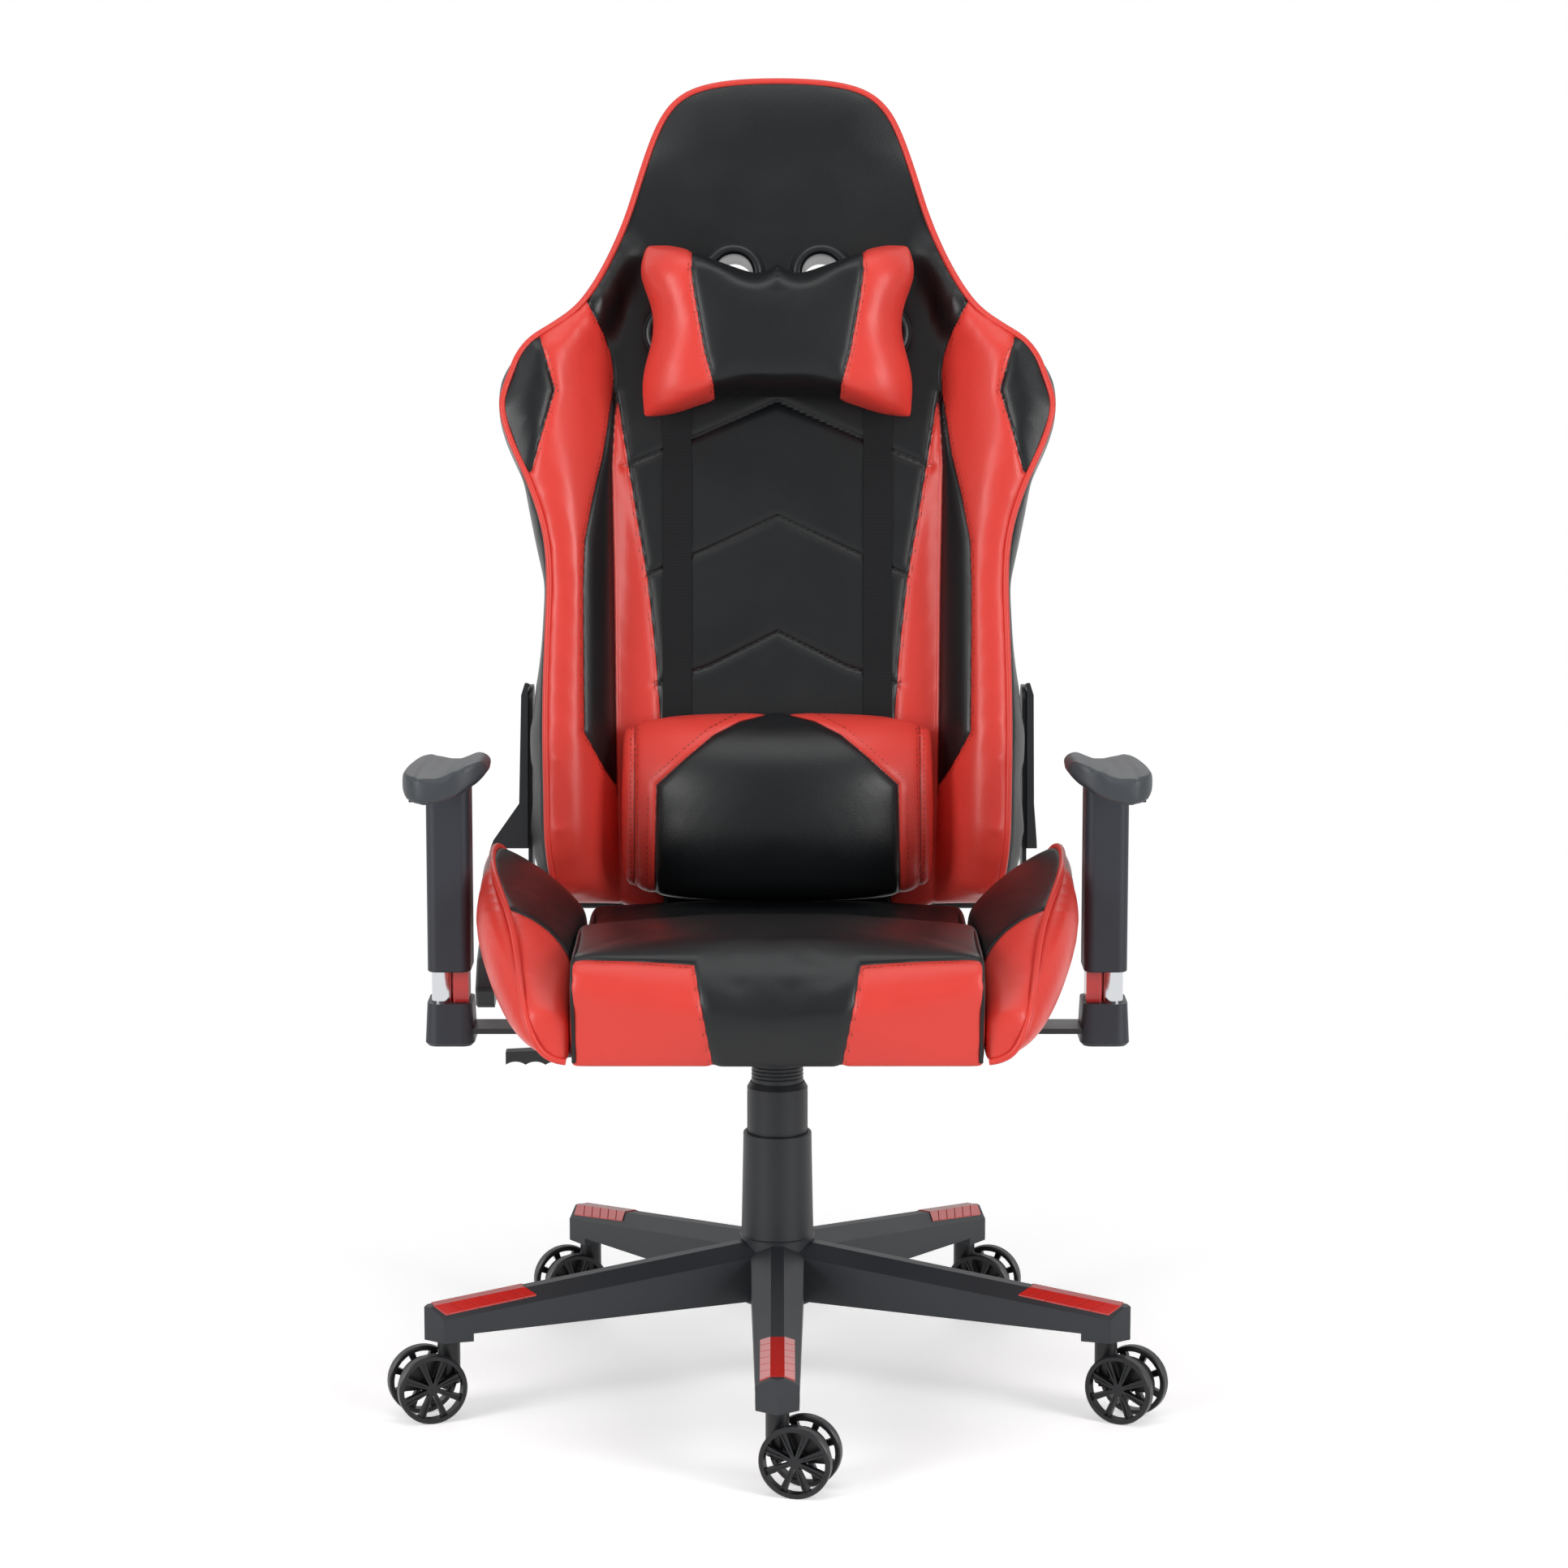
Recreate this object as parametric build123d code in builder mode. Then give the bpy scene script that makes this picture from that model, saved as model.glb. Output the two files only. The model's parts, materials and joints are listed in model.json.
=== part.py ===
from build123d import *

import math
import os

os.makedirs("parts", exist_ok=True)

# High-backed racing-style swivel chair.  Millimetres and degrees.
# Origin: on the floor under the swivel column.  +Z is up and the sitter faces -Y,
# so "left" parts lie at +X and "right" parts at -X.

# ------------------------------------------------------------ driving dimensions

# fits
RUN_FIT = 0.05            # radial clearance of turning and sliding pins
PRESS_FIT = 0.02          # hairline round a piece pressed into another
SEAT_FIT = 0.3            # gap between neighbouring moving parts
SOFT_GAP = 0.4            # gap round upholstered parts

# casters
WHEEL_D = 65.0
WHEEL_W = 10.0
WHEEL_PITCH = 36.0        # between the middles of a caster's two wheels
RIM_T = 4.6
SPOKES = 8
SPOKE_T = 6.0
SPOKE_ROOT_W = 3.0
SPOKE_TIP_W = 6.4
SPOKE_GROOVE = 1.2
TREAD_CHAMFER = 1.2
WHEEL_HUB_D = 11.0
AXLE_D = 6.0
CASTER_TRAIL = 21.0
NECK_D = 21.0
STEM_D = 11.0
STEM_GRIP = 26.0          # stem length inside the base
FENDER_T = 16.0
FENDER_MARGIN = 7.5       # fender edge inside the wheel's tread
BOSS_D = 18.0
TRAIL_ANGLES = (-15.0, -27.0, -20.0, 200.0, 199.5)

# star base
BASE_R = 320.0            # swivel column to caster stem
ARMS = 5
FRONT_ARM_ANGLE = -90.0
WHEEL_CLEARANCE = 9.5     # wheel top to the underside of an arm end
BLOCK_L = 38.0
BLOCK_DROP = 6.0
ARM_TIP_H = 25.5
ARM_TIP_W = 38.0
ARM_ROOT_H = 55.0
ARM_ROOT_W = 50.0
ARM_RISE = 40.0           # ridge height at the hub above the ridge at the tip
RIDGE_W = 12.0
SHOULDER_DROP = 11.0
ARM_WALL = 3.5
RIB_T = 2.5
ARM_RIBS = 5
HUB_D = 76.0
PROW = 14.0
INSERT_L = 86.0
INSERT_W = 31.0
INSERT_END = 8.0         # from an arm's tip to its insert
INSERT_SLANT = 9.0
INSERT_T = 2.4
INSERT_RECESS = 1.5
INSERT_GROOVES = 5
GROOVE_W = 1.4
GROOVE_D = 0.8
GROOVE_SLANT = 14.0

# gas column and its telescopic cover
LIFT_STROKE = 70.0
COVER_LOWER_H = 101.5
COVER_LOWER_D = 64.3
COVER_FOOT_D = 68.0
COVER_FLANGE_D = 71.0
COVER_WALL = 2.2
COVER_MID_D = 57.0
COVER_MID_H = 97.0
COVER_MID_SHOW = 48.0     # height of the middle stage above the lower one
COVER_TOP_D = 48.8
COVER_TOP_WALL = 1.1
COVER_RIBS = 6
COVER_LIP = 0.5           # gap between telescoping stages at their lips
TUBE_D = 45.0
TUBE_WALL = 2.5
TUBE_TAPER = 1.6
TUBE_BELOW_HUB = 26.0
TUBE_FLOOR = 6.0
BUSH_L = 54.0
GAS_D = 28.0
GAS_WALL = 2.0
GAS_TAPER = 0.8
GAS_TAPER_L = 36.0
ROD_D = 10.0
BEARING_D = 26.0
BEARING_H = 6.0
CLIP_T = 1.5
COVER_TOP_OVERLAP = 27.0  # top stage hidden inside the middle one
COVER_RIB_PITCH = 3.6
COVER_GROOVES = 2
COVER_GROOVE_W = 1.6
COVER_GROOVE_D = 1.0
BUTTON_TRAVEL = 3.2
BUTTON_D = 9.0
BUTTON_H = 6.0

# tilt mechanism
HOUSING_W = 90.0
HOUSING_T = 3.0
HOUSING_FRONT = 78.0
HOUSING_REAR = 70.0
HUB_SOCKET_D = 38.0
TILT_AXLE_Y = -35.0
TILT_AXLE_D = 10.0
PLATE_T = 3.0
PLATE_W = 170.0
PLATE_FRONT = 100.0
PLATE_REAR = 105.0
LUG_L = 36.0
BUFFER_D = 30.0
BUFFER_Y = 26.0
BUFFER_X = 25.0
KNOB_D = 30.0
KNOB_L = 22.0
BOLT_D = 7.0
LEVER_D = 8.0
LEVER_REACH = 255.0       # column axis to the end of the height lever
ROCKER_X = 30.0           # rocker pivot beside the column axis
ROCKER_W = 14.0
ROCKER_PIN_D = 4.0
EAR_T = 3.0
LEVER_BEND_X = 92.0
LEVER_DROP = 38.0
GRIP_L = 56.0
GRIP_W = 16.0
GRIP_FINGERS = 3
KNOB_FLUTES = 8

# seat
MECHANISM_H = 64.0        # mechanism's lowest face to the top of the seat plate
FRAME_TUBE_W = 22.0
FRAME_TUBE_H = 16.0
FRAME_HALF_W = 154.0
FRAME_FRONT = 222.0
FRAME_REAR = 176.0
RAIL_T = 4.0
RAIL_W = 30.0
SEAT_W = 364.0            # centre cushion between the bolsters
SEAT_FRONT = 287.0
SEAT_REAR = 165.0
RAIL_Y_FRONT = 78.0       # seat rails and their bolts, ahead of and behind the column
RAIL_Y_REAR = 84.0
PLATE_HOLE_X = 66.0
PLATE_HOLE_D = 8.6
SEAT_BOLT_HEAD_D = 14.0
SEAT_BOLT_HEAD_H = 5.0
SEAT_LIP_DROP = 6.0       # cushion lip below the underside of the seat frame
SEAT_FRONT_H = 100.0
SEAT_SLOPE = 36.0
BOLSTER_OUT = 278.0       # outermost reach of a side bolster
BOLSTER_REAR = 122.0

# armrests
ARM_X = 302.0             # armrest post beside the middle plane
ARM_Y = -33.0
STRIP_T = 5.0
STRIP_W = 44.0
STRIP_DROP = 17.5         # strip's top below the seat frame's underside
STRIP_IN_X = 96.0
BOOT_W = 46.0
BOOT_L = 58.0
BOOT_H = 40.0
POST_W = 19.0
POST_L = 40.0
POST_H = 176.0
RAIL_BAR_W = 15.0
RAIL_BAR_L = 30.0
RAIL_NOTCHES = 6
NOTCH_PITCH = 12.0
SLEEVE_W = 40.0
SLEEVE_L = 56.0
SLEEVE_WALL = 2.2
SLEEVE_H = 174.0
SLEEVE_DOWN = 28.0
PAD_W = 86.0
PAD_L = 236.0
PAD_T = 26.0
PAD_HUMP = 9.0
PAD_Y = -52.0
TRIGGER_W = 14.0
TRIGGER_SLOT_H = 14.0
TRIGGER_PIN_D = 3.0

# back
LEAN = 9.5                # back from the vertical
BACK_FRONT_Y = 178.0      # foot of the back's front face
BACK_CORE_T = 74.0
BACK_GAP = 9.0            # back's foot above the seat's rear edge
WING_F = 62.0             # wings forward of the centre panel
PIVOT_Y = 215.0
RECLINER_X = 233.0        # inner face of the fixed recliner plate
RECLINER_T = 4.0
RECLINER_GAP = 3.0        # gear disc between the fixed and the moving plate
DISC_D = 44.0
STUD_D = 8.0
COVER_DEPTH = 60.0
COVER_FOOT = 54.0         # recliner pivot to the cover's lower edge, along the back
COVER_SKIN = 2.0
COVER_FLARE_X = 281.0
COVER_WAIST_X = 251.0
LEVER_OUT_X = 288.0
LEVER_IN_X = 270.0
LEVER_BOSS_D = 38.0
LEVER_L = 148.0
LEVER_DIP = 24.0
RECLINER_ARM_L = 193.0
RECLINER_ARM_W = 46.0
CROSS_ROD_D = 10.0
STRAP_W = 28.0
STRAP_T = 1.6
STRAP_X = 98.0
STRAP_FRONT = 1.4         # webbing ahead of the back's face
STRAP_REAR = 78.4         # webbing behind the back's face
STRAP_TOP_H = 541.0
STRAP_FOOT = 0.5
HOLE_W = 46.0             # harness hole across
HOLE_L = 128.0
LINER_T = 2.5
BEZEL_LIP = 7.0
BEZEL_T = 1.2
HOLE_X = 72.0
HOLE_H = 578.0
HOLE_ANGLE = 45.0
PANEL_T = 4.0
PANEL_INSET = 12.0
PANEL_SCALE = 0.955       # rear cover's outline over the back's outline
BACK_TUBE_D = 22.0
BACK_FRAME_X = 194.0
CROSS_BAR_T = 3.0
CROSS_BAR_W = 24.0
WING_ROOT = 8.0           # depth a wing is buried in the core

# pillows
PILLOW_GAP = 3.4          # back's face to a pillow's rear
LUMBAR_W = 300.0
LUMBAR_L = 168.0
LUMBAR_H = 8.0
LUMBAR_T = 97.0
NECK_W = 268.0
NECK_L = 158.0
NECK_H = 548.0
NECK_T = 72.0

# ------------------------------------------------------------ levels

AXLE_Z = WHEEL_D / 2
BLOCK_Z = WHEEL_D + WHEEL_CLEARANCE
ARM_TIP_Z = BLOCK_Z + BLOCK_DROP
RIDGE_TIP_Z = ARM_TIP_Z + ARM_TIP_H
HUB_Z = RIDGE_TIP_Z + ARM_RISE
HUB_BOTTOM_Z = HUB_Z - ARM_ROOT_H - 6
TIP_R = BASE_R + BLOCK_L / 2 + 4
COVER_RIM_Z = HUB_Z + COVER_LOWER_H
MECH_Z = COVER_RIM_Z + LIFT_STROKE + 3
PLATE_Z = MECH_Z + MECHANISM_H - PLATE_T
FRAME_Z = PLATE_Z + PLATE_T + RAIL_T - FRAME_TUBE_H + 2
CUSHION_Z = FRAME_Z + FRAME_TUBE_H + SOFT_GAP
HOUSING_Z = MECH_Z + 25
TILT_AXLE_Z = PLATE_Z - 17
BOLT_Z = TILT_AXLE_Z - TILT_AXLE_D / 2 - BOLT_D / 2 - 1
SEAT_LIP_Z = FRAME_Z - SEAT_LIP_DROP
SEAT_TOP_Z = SEAT_LIP_Z + SEAT_FRONT_H
SEAT_REAR_Z = SEAT_TOP_Z - SEAT_SLOPE
BACK_Z = SEAT_REAR_Z + BACK_GAP
PIVOT_Z = BACK_Z - 15.5


def ray(radius, angle):
    """Point on the floor at a radius and an angle from the column."""
    return radius * math.cos(math.radians(angle)), radius * math.sin(math.radians(angle))


def blend(start, end, share):
    """Value a share of the way from start to end."""
    return start + (end - start) * share


# ------------------------------------------------------------ star base

ROOT_R = 24.0


def arm_size(radius):
    """Width, ridge height and underside height of an arm at a radius."""
    share = (radius - ROOT_R) / (TIP_R - ROOT_R)
    return (
        blend(ARM_ROOT_W, ARM_TIP_W, share),
        blend(HUB_Z - 1, RIDGE_TIP_Z, share),
        blend(HUB_Z - ARM_ROOT_H, ARM_TIP_Z, share),
    )


def arm_profile(radius, skin=0.0, bottom=None):
    """Gable section of an arm at a radius, grown outwards by skin."""
    width, top, underside = arm_size(radius)
    half, ridge = width / 2 + skin, RIDGE_W / 2 + skin / 3
    low = underside if bottom is None else bottom
    shoulder = top - SHOULDER_DROP + skin
    return [
        (-half, low), (half, low), (half, shoulder),
        (ridge, top + skin), (-ridge, top + skin), (-half, shoulder),
    ]


def pocket_profile(radius, side):
    """Half of the hollow under an arm, beside its middle web."""
    width, top, underside = arm_size(radius)
    inner, outer = side * RIB_T / 2, side * (width / 2 - ARM_WALL)
    roof = top - ARM_WALL - 1.5
    return [
        (inner, underside - 1),
        (outer, underside - 1),
        (outer, roof - SHOULDER_DROP),
        (side * RIDGE_W / 2, roof),
        (inner, roof),
    ]


INSERT_OUT = TIP_R - INSERT_END
INSERT_IN = INSERT_OUT - INSERT_L


def insert_plan(margin=0.0):
    """Chevron outline of an arm insert, seen from above."""
    half, ridge = INSERT_W / 2 + margin, RIDGE_W / 2
    out, back = INSERT_OUT + margin, INSERT_IN - margin
    return [
        (out, -ridge), (out, ridge), (out - INSERT_SLANT, half), (back - INSERT_SLANT, half),
        (back, ridge), (back, -ridge), (back - INSERT_SLANT, -half), (out - INSERT_SLANT, -half),
    ]


# one arm along +X
with BuildPart() as arm_bed:
    for radius in (ROOT_R, TIP_R + 10):
        with BuildSketch(Plane.YZ.offset(radius)):
            Polygon(*arm_profile(radius, -INSERT_RECESS, 0), align=None)
    loft(ruled=True)

with BuildPart() as insert_cut:
    with BuildSketch(Plane.XY.offset(BLOCK_Z)):
        Polygon(*insert_plan(RUN_FIT), align=None)
    extrude(amount=HUB_Z)
    add(arm_bed.part, mode=Mode.SUBTRACT)

with BuildPart() as arm:
    for radius in (ROOT_R, BASE_R - BLOCK_L / 2):
        with BuildSketch(Plane.YZ.offset(radius)):
            Polygon(*arm_profile(radius), align=None)
    loft(ruled=True)
    for radius in (BASE_R - BLOCK_L / 2, TIP_R):
        with BuildSketch(Plane.YZ.offset(radius)):
            Polygon(*arm_profile(radius, 0, BLOCK_Z), align=None)
    loft(ruled=True)
    # pointed end
    with BuildSketch(Plane.XY.offset(BLOCK_Z - 1)):
        for side in (-1, 1):
            Polygon(
                (TIP_R, 0), (TIP_R + 1, 0), (TIP_R + 1, side * ARM_TIP_W), (TIP_R - PROW, side * ARM_TIP_W / 2),
                align=None,
            )
    extrude(amount=HUB_Z, mode=Mode.SUBTRACT)
    # ribbed hollow, open below
    first, last = HUB_D / 2 + 8, BASE_R - BLOCK_L / 2 - ARM_WALL
    pitch = (last - first + RIB_T) / ARM_RIBS
    for bay in range(ARM_RIBS):
        start = first + bay * pitch
        for side in (-1, 1):
            for radius in (start, start + pitch - RIB_T):
                with BuildSketch(Plane.YZ.offset(radius)):
                    Polygon(*pocket_profile(radius, side), align=None)
            loft(ruled=True, mode=Mode.SUBTRACT)
    add(insert_cut.part, mode=Mode.SUBTRACT)
    # socket of the caster stem
    with BuildSketch(Plane.XY.offset(BLOCK_Z)):
        with Locations((BASE_R, 0)):
            Circle(STEM_D / 2 + RUN_FIT)
    extrude(amount=STEM_GRIP + 1, mode=Mode.SUBTRACT)

with BuildPart() as star_base:
    with BuildSketch(Plane.XY.offset(HUB_BOTTOM_Z)):
        Circle(HUB_D / 2 - 4)
    extrude(amount=HUB_Z - HUB_BOTTOM_Z)
    with PolarLocations(0, ARMS, start_angle=FRONT_ARM_ANGLE):
        add(arm.part)
    with BuildSketch(Plane.XZ):
        with BuildLine():
            Polyline(
                (0, HUB_BOTTOM_Z - 1), (TUBE_D / 2 - TUBE_TAPER + RUN_FIT, HUB_BOTTOM_Z - 1),
                (TUBE_D / 2 + RUN_FIT, HUB_Z), (TUBE_D / 2 + RUN_FIT, HUB_Z + 1), (0, HUB_Z + 1),
                close=True,
            )
        make_face()
    revolve(axis=Axis.Z, mode=Mode.SUBTRACT)
star_base.part.label = "star_base"
export_step(star_base.part, "parts/star_base.step")

# slanted grip grooves down both shoulders of a cap
with BuildPart() as groove_bed:
    for radius in (INSERT_IN - 30, INSERT_OUT + 10):
        with BuildSketch(Plane.YZ.offset(radius)):
            Polygon(*arm_profile(radius, INSERT_T - INSERT_RECESS - GROOVE_D, 0), align=None)
    loft(ruled=True)

with BuildPart() as groove_cut:
    with BuildSketch(Plane.XY.offset(BLOCK_Z)):
        for groove in range(1, INSERT_GROOVES + 1):
            start = INSERT_IN + groove * INSERT_L / (INSERT_GROOVES + 1)
            for side in (-1, 1):
                Polygon(
                    (start, side * RIDGE_W / 2), (start + GROOVE_W, side * RIDGE_W / 2),
                    (start - GROOVE_SLANT + GROOVE_W, side * INSERT_W / 2 + side),
                    (start - GROOVE_SLANT, side * INSERT_W / 2 + side),
                    align=None,
                )
    extrude(amount=HUB_Z)
    add(groove_bed.part, mode=Mode.SUBTRACT)

# ribbed cap on the outer end of each arm
with BuildPart() as arm_cap:
    for radius in (INSERT_IN - 30, INSERT_OUT + 10):
        with BuildSketch(Plane.YZ.offset(radius)):
            Polygon(*arm_profile(radius, INSERT_T - INSERT_RECESS, 0), align=None)
    loft(ruled=True)
    with BuildSketch(Plane.XY.offset(0)):
        Polygon(*insert_plan(), align=None)
    extrude(amount=HUB_Z, mode=Mode.INTERSECT)
    add(arm_bed.part, mode=Mode.SUBTRACT)
    add(groove_cut.part, mode=Mode.SUBTRACT)
with BuildPart() as base_inserts:
    with PolarLocations(0, ARMS, start_angle=FRONT_ARM_ANGLE):
        add(arm_cap.part)
base_inserts.part.label = "base_inserts"
export_step(base_inserts.part, "parts/base_inserts.step")

# ------------------------------------------------------------ casters

WHEEL_R = WHEEL_D / 2
BORE_DEPTH = WHEEL_W / 2 + SPOKE_T / 2 - 1.5
INNER_FACE = WHEEL_PITCH / 2 - WHEEL_W / 2

# one wheel about +Z, with its outer side up
with BuildPart() as wheel:
    with BuildSketch():
        Circle(WHEEL_R)
        Circle(WHEEL_R - RIM_T, mode=Mode.SUBTRACT)
    extrude(amount=WHEEL_W / 2, both=True)
    tread_edges = wheel.edges().filter_by(GeomType.CIRCLE).group_by(SortBy.RADIUS)[-1]
    chamfer(tread_edges, length=TREAD_CHAMFER)
    with BuildSketch():
        Circle(WHEEL_HUB_D / 2)
        with PolarLocations(0, SPOKES, start_angle=180 / SPOKES):
            Polygon(
                (0, -SPOKE_ROOT_W / 2), (WHEEL_R - RIM_T + 1, -SPOKE_TIP_W / 2),
                (WHEEL_R - RIM_T + 1, SPOKE_TIP_W / 2), (0, SPOKE_ROOT_W / 2),
                align=None,
            )
    extrude(amount=SPOKE_T / 2, both=True)
    with BuildSketch(Plane.XY.offset(-WHEEL_W / 2)):
        Circle(WHEEL_HUB_D / 2)
    extrude(amount=WHEEL_W / 2)
    with BuildSketch(Plane.XY.offset(-WHEEL_W / 2)):
        Circle(AXLE_D / 2 + RUN_FIT)
    extrude(amount=BORE_DEPTH, mode=Mode.SUBTRACT)
    # tapering groove along each spoke's face
    with BuildSketch(Plane.XY.offset(SPOKE_T / 2)):
        with PolarLocations(0, SPOKES, start_angle=180 / SPOKES):
            Polygon(
                (WHEEL_HUB_D / 2 + 1, 0), (WHEEL_R - RIM_T, -SPOKE_TIP_W / 4),
                (WHEEL_R - RIM_T, SPOKE_TIP_W / 4),
                align=None,
            )
    extrude(amount=-SPOKE_GROOVE, mode=Mode.SUBTRACT)

# one yoke with its stem at the origin, trailing along +X
AXLE_SPOT = (CASTER_TRAIL, AXLE_Z)
with BuildPart() as yoke:
    with BuildSketch(Plane.XZ):
        with Locations(AXLE_SPOT):
            Circle(WHEEL_R - FENDER_MARGIN)
        with Locations((CASTER_TRAIL, AXLE_Z - WHEEL_R)):
            Rectangle(WHEEL_D, WHEEL_D - BOSS_D / 3, mode=Mode.SUBTRACT)
        with Locations(AXLE_SPOT):
            Circle(BOSS_D / 2)
    extrude(amount=FENDER_T / 2, both=True)
    with BuildSketch(Plane.XZ):
        with Locations(AXLE_SPOT):
            Circle(BOSS_D / 2)
    extrude(amount=INNER_FACE - SEAT_FIT, both=True)
    with BuildSketch(Plane.XY.offset(AXLE_Z)):
        Circle(NECK_D / 2)
    extrude(amount=BLOCK_Z - SEAT_FIT - AXLE_Z)
    with BuildSketch(Plane.XY.offset(AXLE_Z + STEM_D / 2 - PRESS_FIT)):
        Circle(STEM_D / 2 + PRESS_FIT)
    extrude(amount=BLOCK_Z, mode=Mode.SUBTRACT)
    with BuildSketch(Plane.XZ):
        with Locations(AXLE_SPOT):
            Circle(AXLE_D / 2 + PRESS_FIT)
    extrude(amount=WHEEL_PITCH, both=True, mode=Mode.SUBTRACT)

# steel stem and wheel axle, pressed into the yoke
with BuildPart() as yoke_pins:
    with BuildSketch(Plane.XY.offset(AXLE_Z + STEM_D / 2)):
        Circle(STEM_D / 2)
    extrude(amount=BLOCK_Z + STEM_GRIP - AXLE_Z - STEM_D / 2)
    with BuildSketch(Plane.XZ):
        with Locations(AXLE_SPOT):
            Circle(AXLE_D / 2)
    extrude(amount=INNER_FACE + BORE_DEPTH - 1, both=True)

for number, trail_angle in enumerate(TRAIL_ANGLES, start=1):
    stem_x, stem_y = ray(BASE_R, FRONT_ARM_ANGLE + 360 / ARMS * (number - 1))
    caster = Location((stem_x, stem_y, 0), (0, 0, trail_angle))
    with BuildPart() as placed_yoke:
        with Locations(caster):
            add([*yoke.part.solids(), *yoke_pins.part.solids()])
    placed_yoke.part.label = f"caster_yoke_{number}"
    export_step(placed_yoke.part, f"parts/caster_yoke_{number}.step")
    for side, letter in ((-1, "a"), (1, "b")):
        wheel_spot = Location((CASTER_TRAIL, side * WHEEL_PITCH / 2, AXLE_Z), (-side * 90, 0, 0))
        with BuildPart() as placed_wheel:
            with Locations(caster * wheel_spot):
                add(wheel.part)
        placed_wheel.part.label = f"caster_wheel_{number}{letter}"
        export_step(placed_wheel.part, f"parts/caster_wheel_{number}{letter}.step")

# ------------------------------------------------------------ gas column

TUBE_R = TUBE_D / 2
TUBE_Z = HUB_BOTTOM_Z - TUBE_BELOW_HUB
TUBE_TOP_Z = MECH_Z - LIFT_STROKE - 6
TUBE_FLOOR_Z = TUBE_Z + TUBE_FLOOR
GAS_R = GAS_D / 2
ROD_R = ROD_D / 2
GAS_Z = TUBE_FLOOR_Z + BEARING_H + LIFT_STROKE + 12
GAS_TOP_Z = MECH_Z + GAS_TAPER_L
GUIDE_H = 16.0            # rod guide that closes the foot of the gas cylinder
PISTON_H = 10.0

# steel stand tube, tapered where it wedges into the base
with BuildPart() as stand_tube:
    with BuildSketch(Plane.XZ):
        with BuildLine():
            Polyline(
                (ROD_R + 1, TUBE_Z), (TUBE_R - TUBE_TAPER, TUBE_Z), (TUBE_R - TUBE_TAPER, HUB_BOTTOM_Z),
                (TUBE_R, HUB_Z), (TUBE_R, TUBE_TOP_Z), (TUBE_R - TUBE_WALL, TUBE_TOP_Z),
                (TUBE_R - TUBE_WALL, HUB_Z), (TUBE_R - TUBE_TAPER - TUBE_WALL, HUB_BOTTOM_Z),
                (TUBE_R - TUBE_TAPER - TUBE_WALL, TUBE_FLOOR_Z), (ROD_R + 1, TUBE_FLOOR_Z),
                close=True,
            )
        make_face()
    revolve(axis=Axis.Z)
stand_tube.part.label = "stand_tube"
export_step(stand_tube.part, "parts/stand_tube.step")

# plastic guide that steadies the gas cylinder in the stand tube
with BuildPart() as guide_bush:
    with BuildSketch(Plane.XY.offset(TUBE_TOP_Z - BUSH_L)):
        Circle(TUBE_R - TUBE_WALL - PRESS_FIT)
        Circle(GAS_R + RUN_FIT, mode=Mode.SUBTRACT)
    extrude(amount=BUSH_L)
    with BuildSketch(Plane.XY.offset(TUBE_TOP_Z)):
        Circle(TUBE_R)
        Circle(GAS_R + RUN_FIT, mode=Mode.SUBTRACT)
    extrude(amount=2)
guide_bush.part.label = "guide_bush"
export_step(guide_bush.part, "parts/guide_bush.step")

with BuildPart() as thrust_bearing:
    with BuildSketch(Plane.XZ):
        with BuildLine():
            Polyline(
                (ROD_R + 0.5, TUBE_FLOOR_Z), (BEARING_D / 2, TUBE_FLOOR_Z), (BEARING_D / 2, TUBE_FLOOR_Z + 2),
                (BEARING_D / 2 - 2, TUBE_FLOOR_Z + 2), (BEARING_D / 2 - 2, TUBE_FLOOR_Z + BEARING_H - 2),
                (BEARING_D / 2, TUBE_FLOOR_Z + BEARING_H - 2), (BEARING_D / 2, TUBE_FLOOR_Z + BEARING_H),
                (ROD_R + 0.5, TUBE_FLOOR_Z + BEARING_H),
                close=True,
            )
        make_face()
    revolve(axis=Axis.Z)
thrust_bearing.part.label = "thrust_bearing"
export_step(thrust_bearing.part, "parts/thrust_bearing.step")

# piston rod: stands on the bearing, its piston inside the gas cylinder
CLIP_Z = TUBE_Z - CLIP_T
with BuildPart() as piston_rod:
    with BuildSketch(Plane.XZ):
        with BuildLine():
            Polyline(
                (0, CLIP_Z - 3), (ROD_R, CLIP_Z - 3), (ROD_R, CLIP_Z - PRESS_FIT), (ROD_R - 1, CLIP_Z - PRESS_FIT),
                (ROD_R - 1, TUBE_Z), (ROD_R, TUBE_Z), (ROD_R, TUBE_FLOOR_Z + BEARING_H),
                (ROD_R + 3, TUBE_FLOOR_Z + BEARING_H), (ROD_R + 3, TUBE_FLOOR_Z + BEARING_H + 4),
                (ROD_R, TUBE_FLOOR_Z + BEARING_H + 6), (ROD_R, GAS_Z + GUIDE_H + 2),
                (GAS_R - GAS_WALL - RUN_FIT, GAS_Z + GUIDE_H + 2),
                (GAS_R - GAS_WALL - RUN_FIT, GAS_Z + GUIDE_H + 2 + PISTON_H), (0, GAS_Z + GUIDE_H + 2 + PISTON_H),
                close=True,
            )
        make_face()
    revolve(axis=Axis.Z)
piston_rod.part.label = "piston_rod"
export_step(piston_rod.part, "parts/piston_rod.step")

# open spring clip in the rod's groove, under the stand tube
with BuildPart() as retaining_clip:
    with BuildSketch(Plane.XY.offset(CLIP_Z)):
        Circle(ROD_R + 4)
        Circle(ROD_R - 1 + PRESS_FIT, mode=Mode.SUBTRACT)
        with Locations((0, -ROD_R - 2)):
            Rectangle(ROD_R, ROD_D, mode=Mode.SUBTRACT)
    extrude(amount=CLIP_T - PRESS_FIT)
retaining_clip.part.label = "retaining_clip"
export_step(retaining_clip.part, "parts/retaining_clip.step")

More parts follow.
